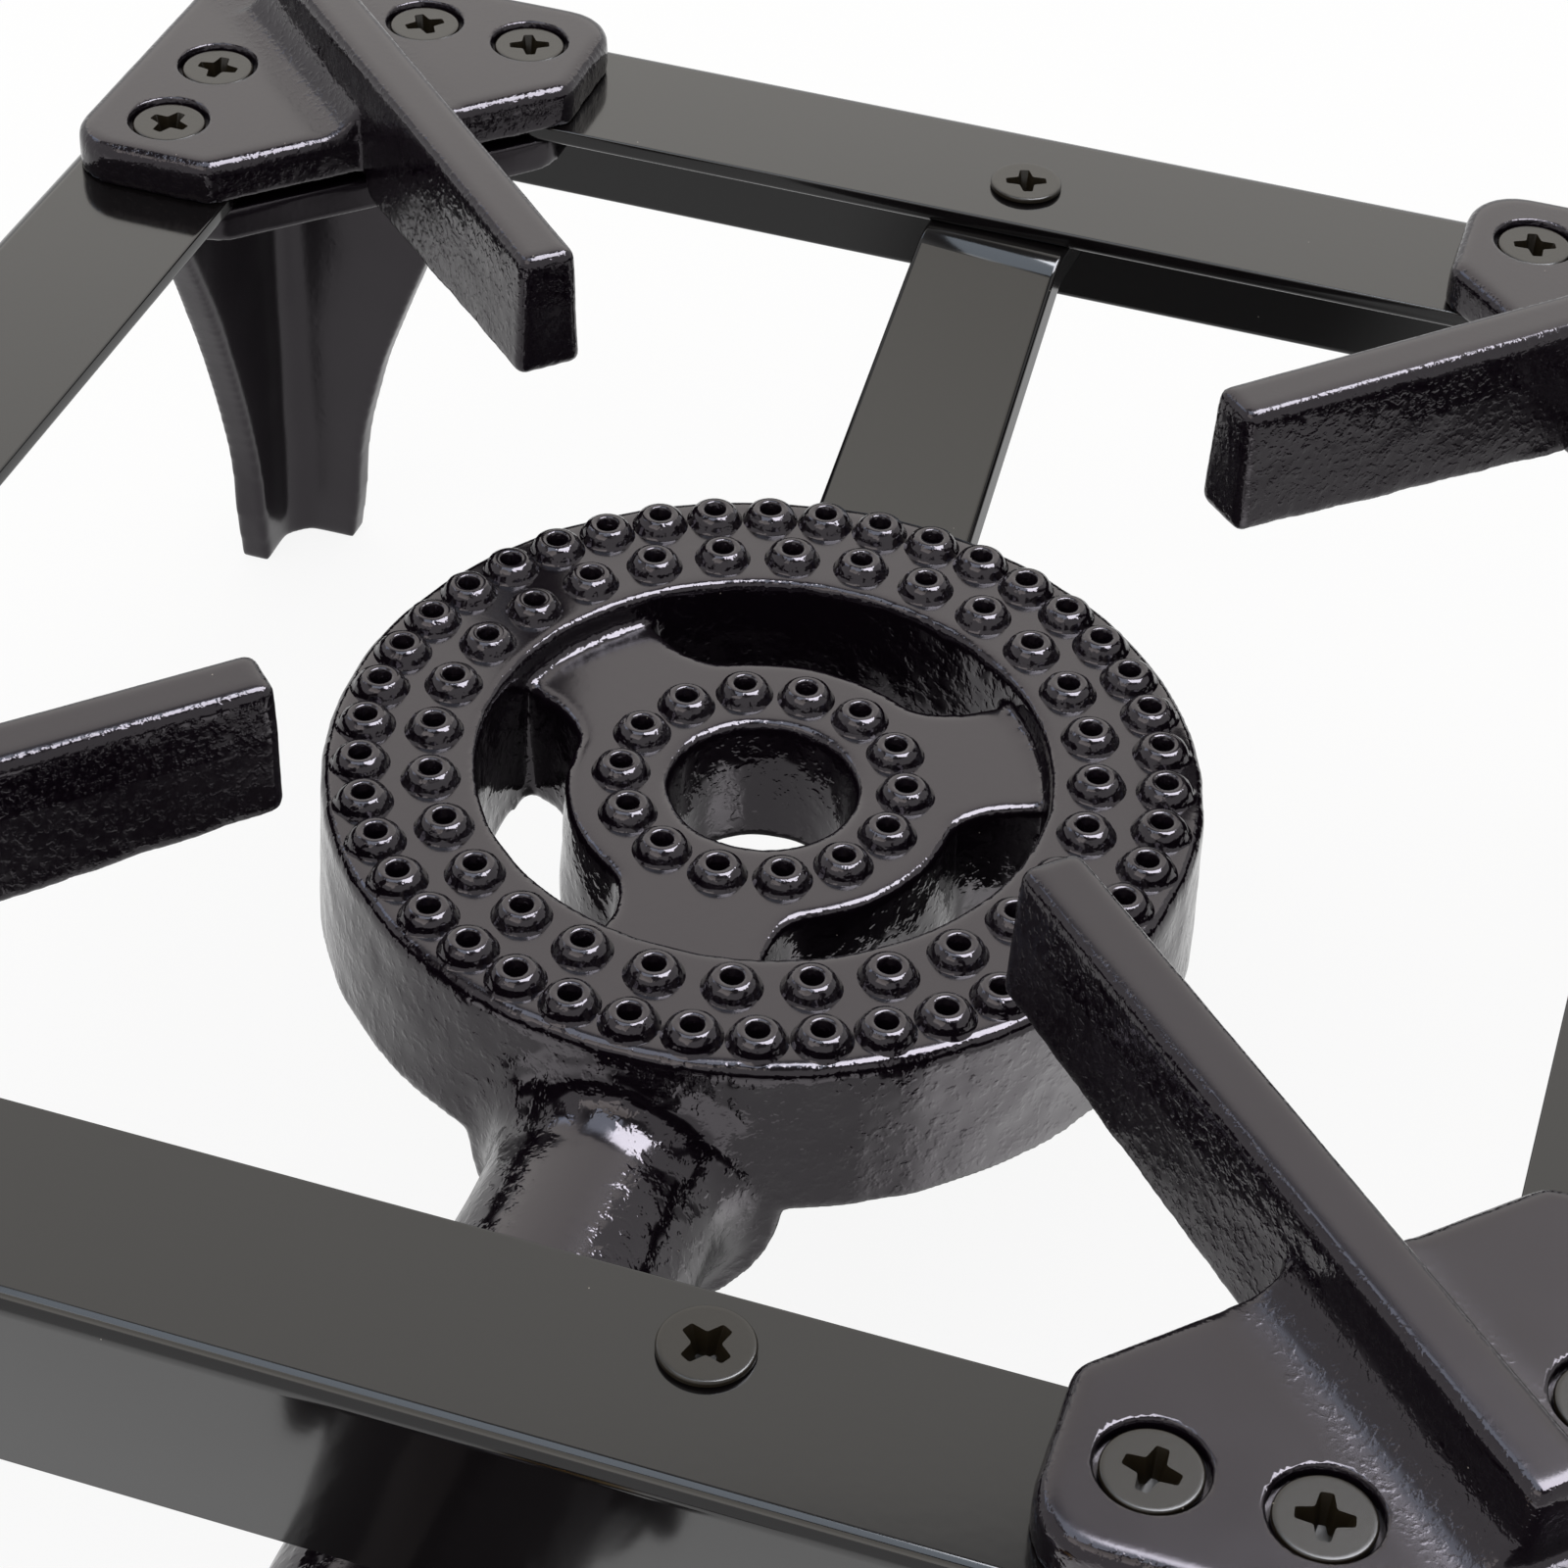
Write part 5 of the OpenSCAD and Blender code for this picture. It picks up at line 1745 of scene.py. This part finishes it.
@dataclass
class Straps:
    """The two bent flats that hang the burner under the front and back rails."""

    datum: Datum
    burner: Burner
    fasteners: Fasteners
    rail_width: float = 40.0
    rail_thick: float = 4.0
    thick: float = 8.0
    end: float = 14.0
    outer_bend: float = 9.0
    inner_bend: float = 3.0
    bolt_circle: float = 72.25
    ring_gap: float = 4.0
    rail_gap: float = 4.0
    tube_gap: float = 4.5
    head_proud: float = 1.5
    bolt_head: float = 5.3
    back_screw: Pair = (3.5, 24.0)
    back_bolt: float = -9.0
    back_widths: Pair = (30.0, 40.0)
    front_screw: Pair = (45.5, 28.0)
    front_width: float = 24.0

    def back(self) -> Hanger:
        """Lay out the back strap, which runs down to the underside of the ring."""
        half, (screw_x, screw_in) = self.datum.half, self.back_screw
        screw = Vector((screw_x, half - screw_in))
        bolt = Vector((self.back_bolt, math.sqrt(self.bolt_circle ** 2 - self.back_bolt ** 2)))
        run = bolt - screw
        slant = run.length / abs(run.y)
        return Hanger(
            node="burner_strap_back", screw=screw, bolt=bolt, low=self.burner.low,
            bend=(self.rail_width - screw_in + self.rail_gap) * slant,
            low_bend=(screw.y - self.burner.ring_radius - self.ring_gap) * slant,
            at_rail=self.back_widths[0], at_bolt=self.back_widths[1], spin=20.0,
        )

    def front(self) -> Hanger:
        """Lay out the front strap, which runs crossways to the lug below the mixing tube."""
        screw_x, screw_in = self.front_screw
        bend = screw_x - self.burner.tube_radius - self.tube_gap
        return Hanger(
            node="burner_strap_front", screw=Vector((screw_x, screw_in - self.datum.half)),
            bolt=Vector((0.0, self.burner.lug_place)), low=self.burner.lug_low,
            bend=bend, low_bend=bend, at_rail=self.front_width, at_bolt=self.front_width, spin=61.0,
        )

    def strap(self, form: Hanger) -> Workpiece:
        """Shape a strap.

        Args:
            form: Its form.

        Returns:
            The strap.
        """
        run = form.bolt - form.screw
        high, low = self.datum.rail_top - self.rail_thick, form.low
        lean = self.thick * math.tan(math.atan2(high - low, form.low_bend - form.bend) / 2)
        far = run.length + self.end
        side = [
            (-self.end, high), (form.bend, high), (form.low_bend, low), (far, low), (far, low - self.thick),
            (form.low_bend - lean, low - self.thick), (form.bend - lean, high - self.thick),
            (-self.end, high - self.thick),
        ]
        wide, tight = self.outer_bend, self.inner_bend
        strap = Workpiece.prism(side, -0.5, 0.5, {1: wide, 2: tight, 5: wide, 6: tight}, 5)
        for vertex in strap.mesh.verts:
            along, height, across = vertex.co
            share = (along + self.end) / (far + self.end)
            width = form.at_rail + (form.at_bolt - form.at_rail) * share
            vertex.co = (along, across * width, height)
        strap.outwards().round_edges(0.9, 3, 45.0).hold_flats()
        turn = Matrix.Rotation(math.atan2(run.y, run.x), 4, "Z")
        return strap.move(self.datum.burner() @ Matrix.Translation((*form.screw, 0.0)) @ turn)

    def build(self) -> None:
        """Put the straps, their screws, their nuts and the burner's bolts in place."""
        kit = self.fasteners
        strap_low = self.datum.rail_top - self.rail_thick - self.thick
        head_top = self.datum.rail_top + self.head_proud
        length = head_top - strap_low + kit.nut_thick + kit.tail
        screws, nuts, bolts = Workpiece(), Workpiece(), Workpiece()
        for form in (self.back(), self.front()):
            self.strap(form).deliver(form.node + "_bent", RAIL_ENAMEL, [form.node])
            here = self.datum.burner() @ Matrix.Translation((*form.screw, 0.0))
            spin = Matrix.Rotation(math.radians(form.spin), 4, "Z")
            screws.add(kit.screw(length).move(here @ Matrix.Translation((0.0, 0.0, head_top)) @ spin))
            nuts.add(kit.nut().move(here @ Matrix.Translation((0.0, 0.0, strap_low - kit.nut_thick)) @ spin))
            head_low = form.low - self.thick - self.bolt_head
            under = self.datum.burner() @ Matrix.Translation((*form.bolt, head_low))
            bolts.add(kit.hexagon(kit.nut_across, self.bolt_head).move(under @ spin))
            shank = kit.threaded(kit.thread / 2, 1.25, self.thick + 10.0)
            bolts.add(shank.move(under @ Matrix.Translation((0.0, 0.0, self.bolt_head - 0.5))))
        screws.deliver("strap_screws_recessed", SCREW_ENAMEL, ["strap_screws"])
        nuts.deliver("strap_nuts_chamfered", SCREW_ENAMEL, ["strap_nuts"])
        bolts.deliver("burner_bolts_chamfered", SCREW_ENAMEL, ["burner_bolts"])


@dataclass
class GasFittings:
    """The injector holder with its lock nut, the air shutter and the hose nozzle."""

    datum: Datum
    burner: Burner
    holder_radius: float = 7.0
    hex_across: float = 19.0
    holder_hex: float = 12.0
    lock_nut: float = 5.0
    pitch: float = 1.5
    shutter_radius: float = 29.0
    shutter_thick: float = 2.5
    shutter_boss: float = 12.0
    shutter_boss_long: float = 7.0
    shutter_gap: float = 0.6
    flutes: int = 36
    nozzle_start: float = -349.0
    nozzle_hex: float = 8.0
    nozzle_across: float = 17.0
    nozzle_lead: float = 3.0
    barb: float = 5.5
    stem: float = 4.5
    barbs: int = 4
    barb_pitch: float = 6.5
    barb_long: float = 5.2
    nozzle_bore: float = 2.5

    def holder(self) -> Workpiece:
        """Shape the injector holder, threaded as far as its hexagon.

        Returns:
            The holder.
        """
        burner = self.burner
        end = burner.mouth + 2.0
        front = burner.mouth - burner.bridge_reach - burner.bridge_thick - burner.boss_proud
        thread = Fasteners.threaded(self.holder_radius, self.pitch, end - front, 48)
        hexagon = Fasteners.hexagon(self.hex_across, self.holder_hex)
        holder = thread.move(self.datum.forwards(end))
        return holder.add(hexagon.move(self.datum.forwards(front)))

    def shutter(self) -> Workpiece:
        """Shape the air shutter: a dished disc and a fluted boss round the holder.

        Returns:
            The air shutter.
        """
        rim, thick, boss = self.shutter_radius, self.shutter_thick, self.shutter_boss
        long, bore = self.shutter_thick + self.shutter_boss_long, self.holder_radius + 0.05
        shutter = Workpiece.spun(
            [(bore, 0.0), (rim, 0.0), (rim, thick), (rim - 3.0, thick), (rim - 5.0, thick - 0.7),
             (boss + 2.5, thick - 0.7), (boss, thick), (boss, long), (bore, long)],
            {1: 0.6, 2: 0.8, 6: 0.6, 7: 0.9, 8: 0.6}, steps=4 * self.flutes,
        )
        for vertex in shutter.mesh.verts:
            radius = math.hypot(vertex.co.x, vertex.co.y)
            if radius > boss - 1.2 and vertex.co.z > thick + 0.3:
                wave = math.cos(self.flutes * math.atan2(vertex.co.y, vertex.co.x))
                vertex.co.x *= 1 - 0.035 * (1 + wave) / 2
                vertex.co.y *= 1 - 0.035 * (1 + wave) / 2
        return shutter.move(self.datum.forwards(self.burner.mouth - self.shutter_gap))

    def nozzle(self) -> Workpiece:
        """Shape the hose nozzle: a hexagon and a row of barbs.

        Returns:
            The nozzle.
        """
        first = self.nozzle_hex + self.nozzle_lead
        end = first + self.barbs * self.barb_pitch
        stem, barb, bore = self.stem, self.barb, self.nozzle_bore
        profile = [(bore, 2.0), (stem, 2.0)]
        for i in range(self.barbs):
            base = first + i * self.barb_pitch
            profile += [(stem, base), (barb, base + 0.25), (barb, base + 0.7), (stem, base + self.barb_long)]
        profile += [(stem, end - 0.6), (stem - 0.5, end), (bore + 0.4, end), (bore, end - 0.5)]
        place = self.datum.forwards(self.nozzle_start)
        nozzle = Workpiece.spun(profile, steps=48).move(place)
        hexagon = Fasteners.hexagon(self.nozzle_across, self.nozzle_hex).move(place)
        return nozzle.add(hexagon)

    def build(self) -> None:
        """Put the fittings in place."""
        burner = self.burner
        self.holder().deliver("injector_holder_threaded", BRASS, ["injector_holder"])
        back = burner.mouth - burner.bridge_reach + burner.boss_proud
        nut = Fasteners.hexagon(self.hex_across, self.lock_nut)
        nut.move(self.datum.forwards(back + self.lock_nut))
        nut.deliver("holder_lock_nut_chamfered", BRASS, ["holder_lock_nut"])
        self.shutter().deliver(
            "air_shutter_fluted", ALUMINIUM, ["air_shutter"], body="air_shutter", smooth_to=30.0,
        )
        self.nozzle().deliver("hose_nozzle_barbed", BRASS, ["hose_nozzle"])
        dress(BRASS, "injector")


@dataclass
class GasTap:
    """The gas tap: body, plug, spring and nut below it, and the lever handle."""

    datum: Datum
    axis_y: float = -332.0
    outlet_y: float = -308.0
    inlet_y: float = -349.0
    barrel: float = 13.0
    barrel_high: float = 34.0
    hex_across: float = 19.0
    outlet_hex: float = 7.0
    spigot: float = 6.0
    lift: float = 0.8
    hub: float = 11.0
    hub_high: float = 14.0
    lever_long: float = 46.0
    lever_wide: float = 12.0
    lever_thick: float = 7.0
    washer_drop: float = 1.8
    spring_radius: float = 4.8
    spring_wire: float = 0.7
    spring_long: float = 7.0
    spring_turns: int = 4
    nut_across: float = 10.0
    nut_thick: float = 5.0
    plug_bore: float = 7.6
    collar: float = 4.0
    shoulder: float = 6.0
    necking: float = 1.2
    clear_of_plug: float = 8.0
    neck_wall: float = 2.0
    lap: float = 1.0

    def upright(self, z: float) -> Matrix:
        """Give the place of a part that is drawn along Z on the tap's axis, from a height."""
        return Matrix.Translation((self.datum.axis.x, self.datum.axis.y + self.axis_y, z))

    def body(self) -> Workpiece:
        """Shape the tap's body.

        Returns:
            The body.
        """
        half, wide, bore = self.barrel_high / 2, self.barrel, self.plug_bore
        waist, collar, shoulder = wide - self.necking, half - self.collar, half - self.shoulder
        barrel = Workpiece.spun(
            [(bore, -half), (wide, -half), (wide, -collar), (waist, -shoulder),
             (waist, shoulder), (wide, collar), (wide, half), (bore, half)],
            {1: 1.0, 2: 0.8, 3: 1.5, 4: 1.5, 5: 0.8, 6: 1.0}, steps=64,
        )
        clear = self.clear_of_plug
        place = self.datum.forwards(self.outlet_y)
        body = barrel.move(self.upright(self.datum.gas_z))
        body.add(Fasteners.hexagon(self.hex_across, self.outlet_hex).move(place))
        inlet = Fasteners.hexagon(self.hex_across, self.axis_y - self.inlet_y - clear)
        body.add(inlet.move(self.datum.forwards(self.axis_y - clear)))
        radius = self.spigot + self.neck_wall
        necks = ((self.outlet_y, self.axis_y + clear), (self.axis_y - clear, self.inlet_y + self.lap))
        for start, end in necks:
            long = start - end
            neck = Workpiece.spun([(0.0, 0.0), (radius, 0.0), (radius, long), (0.0, long)], steps=40)
            body.add(neck.move(self.datum.forwards(start)))
        return body

    def handle(self) -> Workpiece:
        """Shape the handle: a hub and a lever that lies crossways when the tap is shut.

        Returns:
            The handle.
        """
        hub = Workpiece.spun(
            [(0.0, 0.0), (self.hub, 0.0), (self.hub - 0.6, self.hub_high), (0.0, self.hub_high)],
            {1: 1.0, 2: 2.0}, steps=48,
        )
        wide, long = self.lever_wide / 2, self.lever_long
        low = (self.hub_high - self.lever_thick) / 2
        plan = [(0.0, -wide * 1.25), (long, -wide), (long, wide), (0.0, wide * 1.25)]
        lever = Workpiece.prism(plan, low, low + self.lever_thick, {1: wide - 0.05, 2: wide - 0.05}, 8)
        lever.round_edges(1.8, 4, 40.0)
        handle = hub.add(lever).fuse(0.55).soften(4)
        return handle.move(self.upright(self.datum.gas_z + self.barrel_high / 2 + self.lift))

    def spring(self) -> Workpiece:
        """Shape the spring below the plug as one coil of round wire.

        Returns:
            The spring.
        """
        wire, steps = self.spring_wire, 28 * self.spring_turns
        rise = self.spring_long - 2 * wire
        spring = Workpiece()
        mesh = spring.mesh
        made = bmesh.ops.create_circle(mesh, cap_ends=False, segments=10, radius=wire)
        bmesh.ops.rotate(mesh, verts=made["verts"], matrix=Matrix.Rotation(math.pi / 2, 3, "X"))
        bmesh.ops.translate(mesh, verts=made["verts"], vec=(self.spring_radius, 0.0, wire))
        bmesh.ops.spin(
            mesh, geom=mesh.verts[:] + mesh.edges[:], cent=(0.0, 0.0, 0.0), axis=(0.0, 0.0, 1.0),
            dvec=(0.0, 0.0, rise / steps), angle=FULL_TURN * self.spring_turns, steps=steps,
            use_merge=False, use_duplicate=False,
        )
        bmesh.ops.holes_fill(mesh, edges=[e for e in mesh.edges if e.is_boundary], sides=0)
        low = self.datum.gas_z - self.barrel_high / 2 - self.washer_drop - self.spring_long
        return spring.outwards().move(self.upright(low))

    def build(self) -> None:
        """Put the tap in place."""
        self.body().deliver("tap_body_turned", BRASS, ["tap_body"])
        self.handle().deliver("tap_handle_moulded", HANDLE, ["tap_handle"], body="tap", smooth_to=80.0)
        self.spring().deliver("plug_spring_coiled", ZINC, ["plug_spring"], body="tap", smooth_to=60.0)
        low = self.datum.gas_z - self.barrel_high / 2 - self.washer_drop - self.spring_long - self.nut_thick
        nut = Fasteners.hexagon(self.nut_across, self.nut_thick).move(self.upright(low))
        nut.deliver("plug_nut_chamfered", ZINC, ["plug_nut"], body="tap")
        dress(BRASS, "tap_plug")
        dress(ZINC, "plug_washer", "handle_screw")


@dataclass
class Studio:
    """The stage: a pale floor, a white surround, soft lamps and the camera.

    Attributes:
        datum: The cooker's datum.
        eye: The camera's place from the burner's axis at the rails' top.
        azimuth: Its turn to the right of the front, in degrees.
        pitch: Its tilt down, in degrees.
        roll: Its turn round the line of sight, in degrees.
        lens: Its focal length on a 36 mm sensor.
        ambient: The surround's light on the cooker.
        floor_glow: The share of plain white in the floor, as the camera sees it.
        shade: The brightness of the painted shade on the mirrored floor under the cooker and round it.
        front: The brightness of its painted light in front of the cooker.
        front_from: How far in front of the burner's axis that painted light begins and is full, in metres.
        patch: The brightness of its painted pool of light, where light would fall through the frame.
        patch_middle: The middle of that patch, from the burner's axis.
        patch_edge: The radii, in metres, between which the patch fades.
        under: The share of its brightness right under the burner, a painted shadow.
        under_to: The radii, in metres, between which that painted shadow fades.
        spread: The distances from the axis, in metres, between which the mirrored floor turns plain
            white.
        ceiling: The brightness of the mirrored surround high up.
        ceiling_from: The sines of the elevations between which it falls to that.
    """

    datum: Datum
    eye: Triple = (155.40, -531.84, 437.64)
    azimuth: float = 15.86
    pitch: float = 40.57
    roll: float = 3.02
    lens: float = 84.87
    ambient: float = 0.8
    floor_glow: float = 0.9
    shade: float = 0.85
    front: float = 1.95
    front_from: Pair = (0.235, 0.285)
    patch: float = 2.6
    patch_middle: Triple = (195.0, -65.0, 0.0)
    patch_edge: Pair = (0.04, 0.12)
    under: float = 0.15
    under_to: Pair = (0.05, 0.1)
    spread: Pair = (0.45, 0.9)
    ceiling: float = 0.2
    ceiling_from: Pair = (0.76, 0.89)

    def aim(self, azimuth: float, elevation: float) -> Vector:
        """Give the direction towards an azimuth to the right of the front and an elevation."""
        a, e = math.radians(azimuth), math.radians(elevation)
        return Vector((math.sin(a) * math.cos(e), -math.cos(a) * math.cos(e), math.sin(e)))

    def camera(self) -> None:
        """Set up the camera at the photograph's angle."""
        data = bpy.data.cameras.new("camera")
        data.lens = self.lens
        data.sensor_width = 36.0
        data.clip_start, data.clip_end = 0.01, 50.0
        item = bpy.data.objects.new("camera", data)
        sight = -self.aim(self.azimuth, self.pitch)
        turn = sight.to_track_quat("-Z", "Y").to_matrix().to_4x4()
        place = (self.datum.axis + UP * self.datum.rail_top + Vector(self.eye)) * METRES
        roll = Matrix.Rotation(math.radians(self.roll), 4, "Z")
        item.matrix_world = Matrix.Translation(place) @ turn @ roll
        bpy.context.scene.collection.objects.link(item)
        bpy.context.scene.camera = item

    def lamp(
        self, name: str, azimuth: float, elevation: float, distance: float, size: Pair, watts: float,
        colour: str = "#fff9ee", mirrored_only: bool = False,
    ) -> None:
        """Hang a soft rectangular lamp that faces the burner.

        Args:
            name: The lamp's name.
            azimuth: Its direction to the right of the front, in degrees.
            elevation: Its direction above the floor, in degrees.
            distance: Its distance in metres.
            size: Its width and height in metres.
            watts: Its power.
            colour: Its colour.
            mirrored_only: Whether it only shows in glossy surfaces.
        """
        data = bpy.data.lights.new(name, "AREA")
        data.shape = "RECTANGLE"
        data.size, data.size_y = size
        data.energy = watts
        data.color = linear(colour)[:3]
        item = bpy.data.objects.new(name, data)
        target = (self.datum.axis + UP * self.datum.burner_top) * METRES
        way = self.aim(azimuth, elevation)
        turn = (-way).to_track_quat("-Z", "Y").to_matrix().to_4x4()
        item.matrix_world = Matrix.Translation(target + way * distance) @ turn
        item.visible_camera = False
        item.visible_diffuse = not mirrored_only
        bpy.context.scene.collection.objects.link(item)

    @staticmethod
    def seen(tree: bpy.types.NodeTree) -> bpy.types.NodeSocket:
        """Tell rays that show a surface from rays that light the cooker.

        Args:
            tree: The node tree.

        Returns:
            A socket that is 1 for camera, glossy and transmission rays.
        """
        path = add_node(tree, "ShaderNodeLightPath")
        sharp = add_node(
            tree, "ShaderNodeMath",
            {0: path.outputs["Is Glossy Ray"], 1: path.outputs["Is Transmission Ray"]},
            {"operation": "MAXIMUM"},
        )
        seen = add_node(
            tree, "ShaderNodeMath", {0: path.outputs["Is Camera Ray"], 1: sharp.outputs[0]},
            {"operation": "MAXIMUM"},
        )
        return seen.outputs[0]

    def surround(self) -> None:
        """Make the world a plain white surround."""
        world = bpy.data.worlds.new("white_surround")
        world.use_nodes = True
        tree = world.node_tree
        tree.nodes.clear()
        strength = add_node(
            tree, "ShaderNodeMapRange", {"Value": self.seen(tree), "To Min": self.ambient, "To Max": 1.0},
        )
        way = add_node(
            tree, "ShaderNodeSeparateXYZ", {0: add_node(tree, "ShaderNodeTexCoord").outputs["Generated"]},
        )
        ceiling = add_node(
            tree, "ShaderNodeMapRange",
            {"Value": way.outputs["Z"], "From Min": self.ceiling_from[0], "From Max": self.ceiling_from[1],
             "To Min": 1.0, "To Max": self.ceiling},
            {"interpolation_type": "SMOOTHSTEP"},
        )
        path = add_node(tree, "ShaderNodeLightPath")
        dimming = add_node(
            tree, "ShaderNodeMix", {0: path.outputs["Is Glossy Ray"], 2: 1.0, 3: ceiling.outputs[0]},
        )
        level = add_node(
            tree, "ShaderNodeMath", {0: strength.outputs[0], 1: dimming.outputs[0]},
            {"operation": "MULTIPLY"},
        )
        sky = add_node(tree, "ShaderNodeBackground", {"Color": WHITE, "Strength": level.outputs[0]})
        add_node(tree, "ShaderNodeOutputWorld", {"Surface": sky.outputs[0]})
        bpy.context.scene.world = world

    def floor(self) -> None:
        """Lay the pale floor, white to the eye but for the cooker's faint shadow. In the cooker's glossy
        surfaces it mostly shows a painted glow instead: painted shade under and round the cooker, painted
        light in front of it and in a patch to its right, and a painted shadow right under the burner.
        """
        sweep = Workpiece.outline([(-6000, -6000), (6000, -6000), (6000, 6000), (-6000, 6000)])
        bmesh.ops.scale(sweep.mesh, vec=(METRES, METRES, METRES), verts=sweep.mesh.verts[:])
        data = bpy.data.meshes.new("floor")
        sweep.mesh.to_mesh(data)
        sweep.mesh.free()
        material = bpy.data.materials.new("white_paper_floor")
        material.use_nodes = True
        tree = material.node_tree
        tree.nodes.clear()
        paper = add_node(
            tree, "ShaderNodeBsdfPrincipled",
            {"Base Color": linear("#f0f0f0"), "Roughness": 0.9, "Specular IOR Level": 0.1},
        )
        place = add_node(tree, "ShaderNodeTexCoord").outputs["Object"]
        axis = self.datum.axis * METRES
        from_axis = add_node(
            tree, "ShaderNodeVectorMath", {0: place, 1: axis}, {"operation": "SUBTRACT"},
        )
        along = add_node(tree, "ShaderNodeSeparateXYZ", {0: from_axis.outputs[0]})
        # Painted light in front of the cooker, falling to the painted shade under and round it.
        front = add_node(
            tree, "ShaderNodeMapRange",
            {"Value": along.outputs["Y"], "From Min": -self.front_from[1], "From Max": -self.front_from[0],
             "To Min": self.front, "To Max": self.shade},
            {"interpolation_type": "SMOOTHSTEP"},
        )
        # A painted pool of light to the right of the burner, where light would fall through the frame.
        from_patch = add_node(
            tree, "ShaderNodeVectorMath",
            {0: from_axis.outputs[0], 1: Vector(self.patch_middle) * METRES}, {"operation": "DISTANCE"},
        )
        patch = add_node(
            tree, "ShaderNodeMapRange",
            {"Value": from_patch.outputs["Value"], "From Min": self.patch_edge[0],
             "From Max": self.patch_edge[1], "To Min": self.patch, "To Max": self.shade},
            {"interpolation_type": "SMOOTHSTEP"},
        )
        # The painted shade, with the brighter of the two painted lights over it.
        painted_light_and_shade = add_node(
            tree, "ShaderNodeMath", {0: front.outputs[0], 1: patch.outputs[0]}, {"operation": "MAXIMUM"},
        )
        away = add_node(
            tree, "ShaderNodeVectorMath", {0: from_axis.outputs[0]}, {"operation": "LENGTH"},
        )
        # A painted shadow right under the burner, which darkens the mirrored floor there.
        under = add_node(
            tree, "ShaderNodeMapRange",
            {"Value": away.outputs["Value"], "From Min": self.under_to[0], "From Max": self.under_to[1],
             "To Min": self.under, "To Max": 1.0},
            {"interpolation_type": "SMOOTHSTEP"},
        )
        # The painted shade and light, darkened by the painted shadow under the burner.
        painted_shade_light_and_shadow = add_node(
            tree, "ShaderNodeMath", {0: painted_light_and_shade.outputs[0], 1: under.outputs[0]}, {"operation": "MULTIPLY"},
        )
        # Far from the cooker the painted shade and light give way to plain white.
        far = add_node(
            tree, "ShaderNodeMapRange",
            {"Value": away.outputs["Value"], "From Min": self.spread[0], "From Max": self.spread[1]},
            {"interpolation_type": "SMOOTHSTEP"},
        )
        mirrored = add_node(tree, "ShaderNodeMix", {0: far.outputs[0], 2: painted_shade_light_and_shadow.outputs[0], 3: 1.0})
        path = add_node(tree, "ShaderNodeLightPath")
        brightness = add_node(
            tree, "ShaderNodeMix", {0: path.outputs["Is Camera Ray"], 2: mirrored.outputs[0], 3: 1.0},
        )
        # Glossy rays see the floor glow with this painted shade and light; the camera sees plain white.
        glow = add_node(tree, "ShaderNodeEmission", {"Color": WHITE, "Strength": brightness.outputs[0]})
        glowing = add_node(
            tree, "ShaderNodeMath", {0: self.seen(tree), 1: self.floor_glow}, {"operation": "MULTIPLY"},
        )
        mixed = add_node(
            tree, "ShaderNodeMixShader", {0: glowing.outputs[0], 1: paper.outputs[0], 2: glow.outputs[0]},
        )
        add_node(tree, "ShaderNodeOutputMaterial", {"Surface": mixed.outputs[0]})
        data.materials.append(material)
        item = bpy.data.objects.new("floor", data)
        bpy.context.scene.collection.objects.link(item)

    def build(self) -> None:
        """Set the stage, the lamps and the camera.

        The flat tops mirror the back softbox and the back strap mirrors the front one. The rounded
        edges mirror the high lamp and the ceiling panel, and the fillets that face left mirror the
        cool window.
        """
        bpy.context.scene.view_settings.view_transform = "Standard"
        self.camera()
        self.surround()
        self.floor()
        self.lamp("back_softbox", 200.0, 38.0, 2.0, (2.9, 1.4), 12.3)
        self.lamp("front_softbox", -22.0, 54.0, 1.8, (1.2, 0.9), 6.0)
        self.lamp("high_lamp", 124.0, 69.0, 1.6, (1.0, 0.9), 56.0, "#f6f8ff", mirrored_only=True)
        self.lamp("ceiling_panel", -90.0, 79.0, 1.6, (1.0, 0.8), 9.5, "#d9e6f5", mirrored_only=True)
        self.lamp("left_window", -107.0, 42.0, 2.0, (0.45, 0.5), 1.6, "#b4cff5", mirrored_only=True)


def main() -> None:
    """Build the cooker's looks and its stage."""
    logging.basicConfig(level=logging.INFO, format="%(message)s", stream=sys.stdout)
    datum = DATUM
    Studio(datum).build()
    supports = PanSupports(datum)
    supports.build()
    legs = Legs(datum)
    legs.build(supports.inner + supports.reach - legs.setback - legs.reach)
    fasteners = Fasteners(datum)
    fasteners.corner_sets(supports, legs.top)
    burner = Burner(datum)
    ports = FlamePorts(burner)
    burner.build(ports)
    ports.build()
    straps = Straps(datum, burner, fasteners)
    straps.build()
    Rails(datum).build({"rail_front": straps.front().screw, "rail_back": straps.back().screw})
    GasFittings(datum, burner).build()
    GasTap(datum).build()


if __name__ == "__main__":
    main()
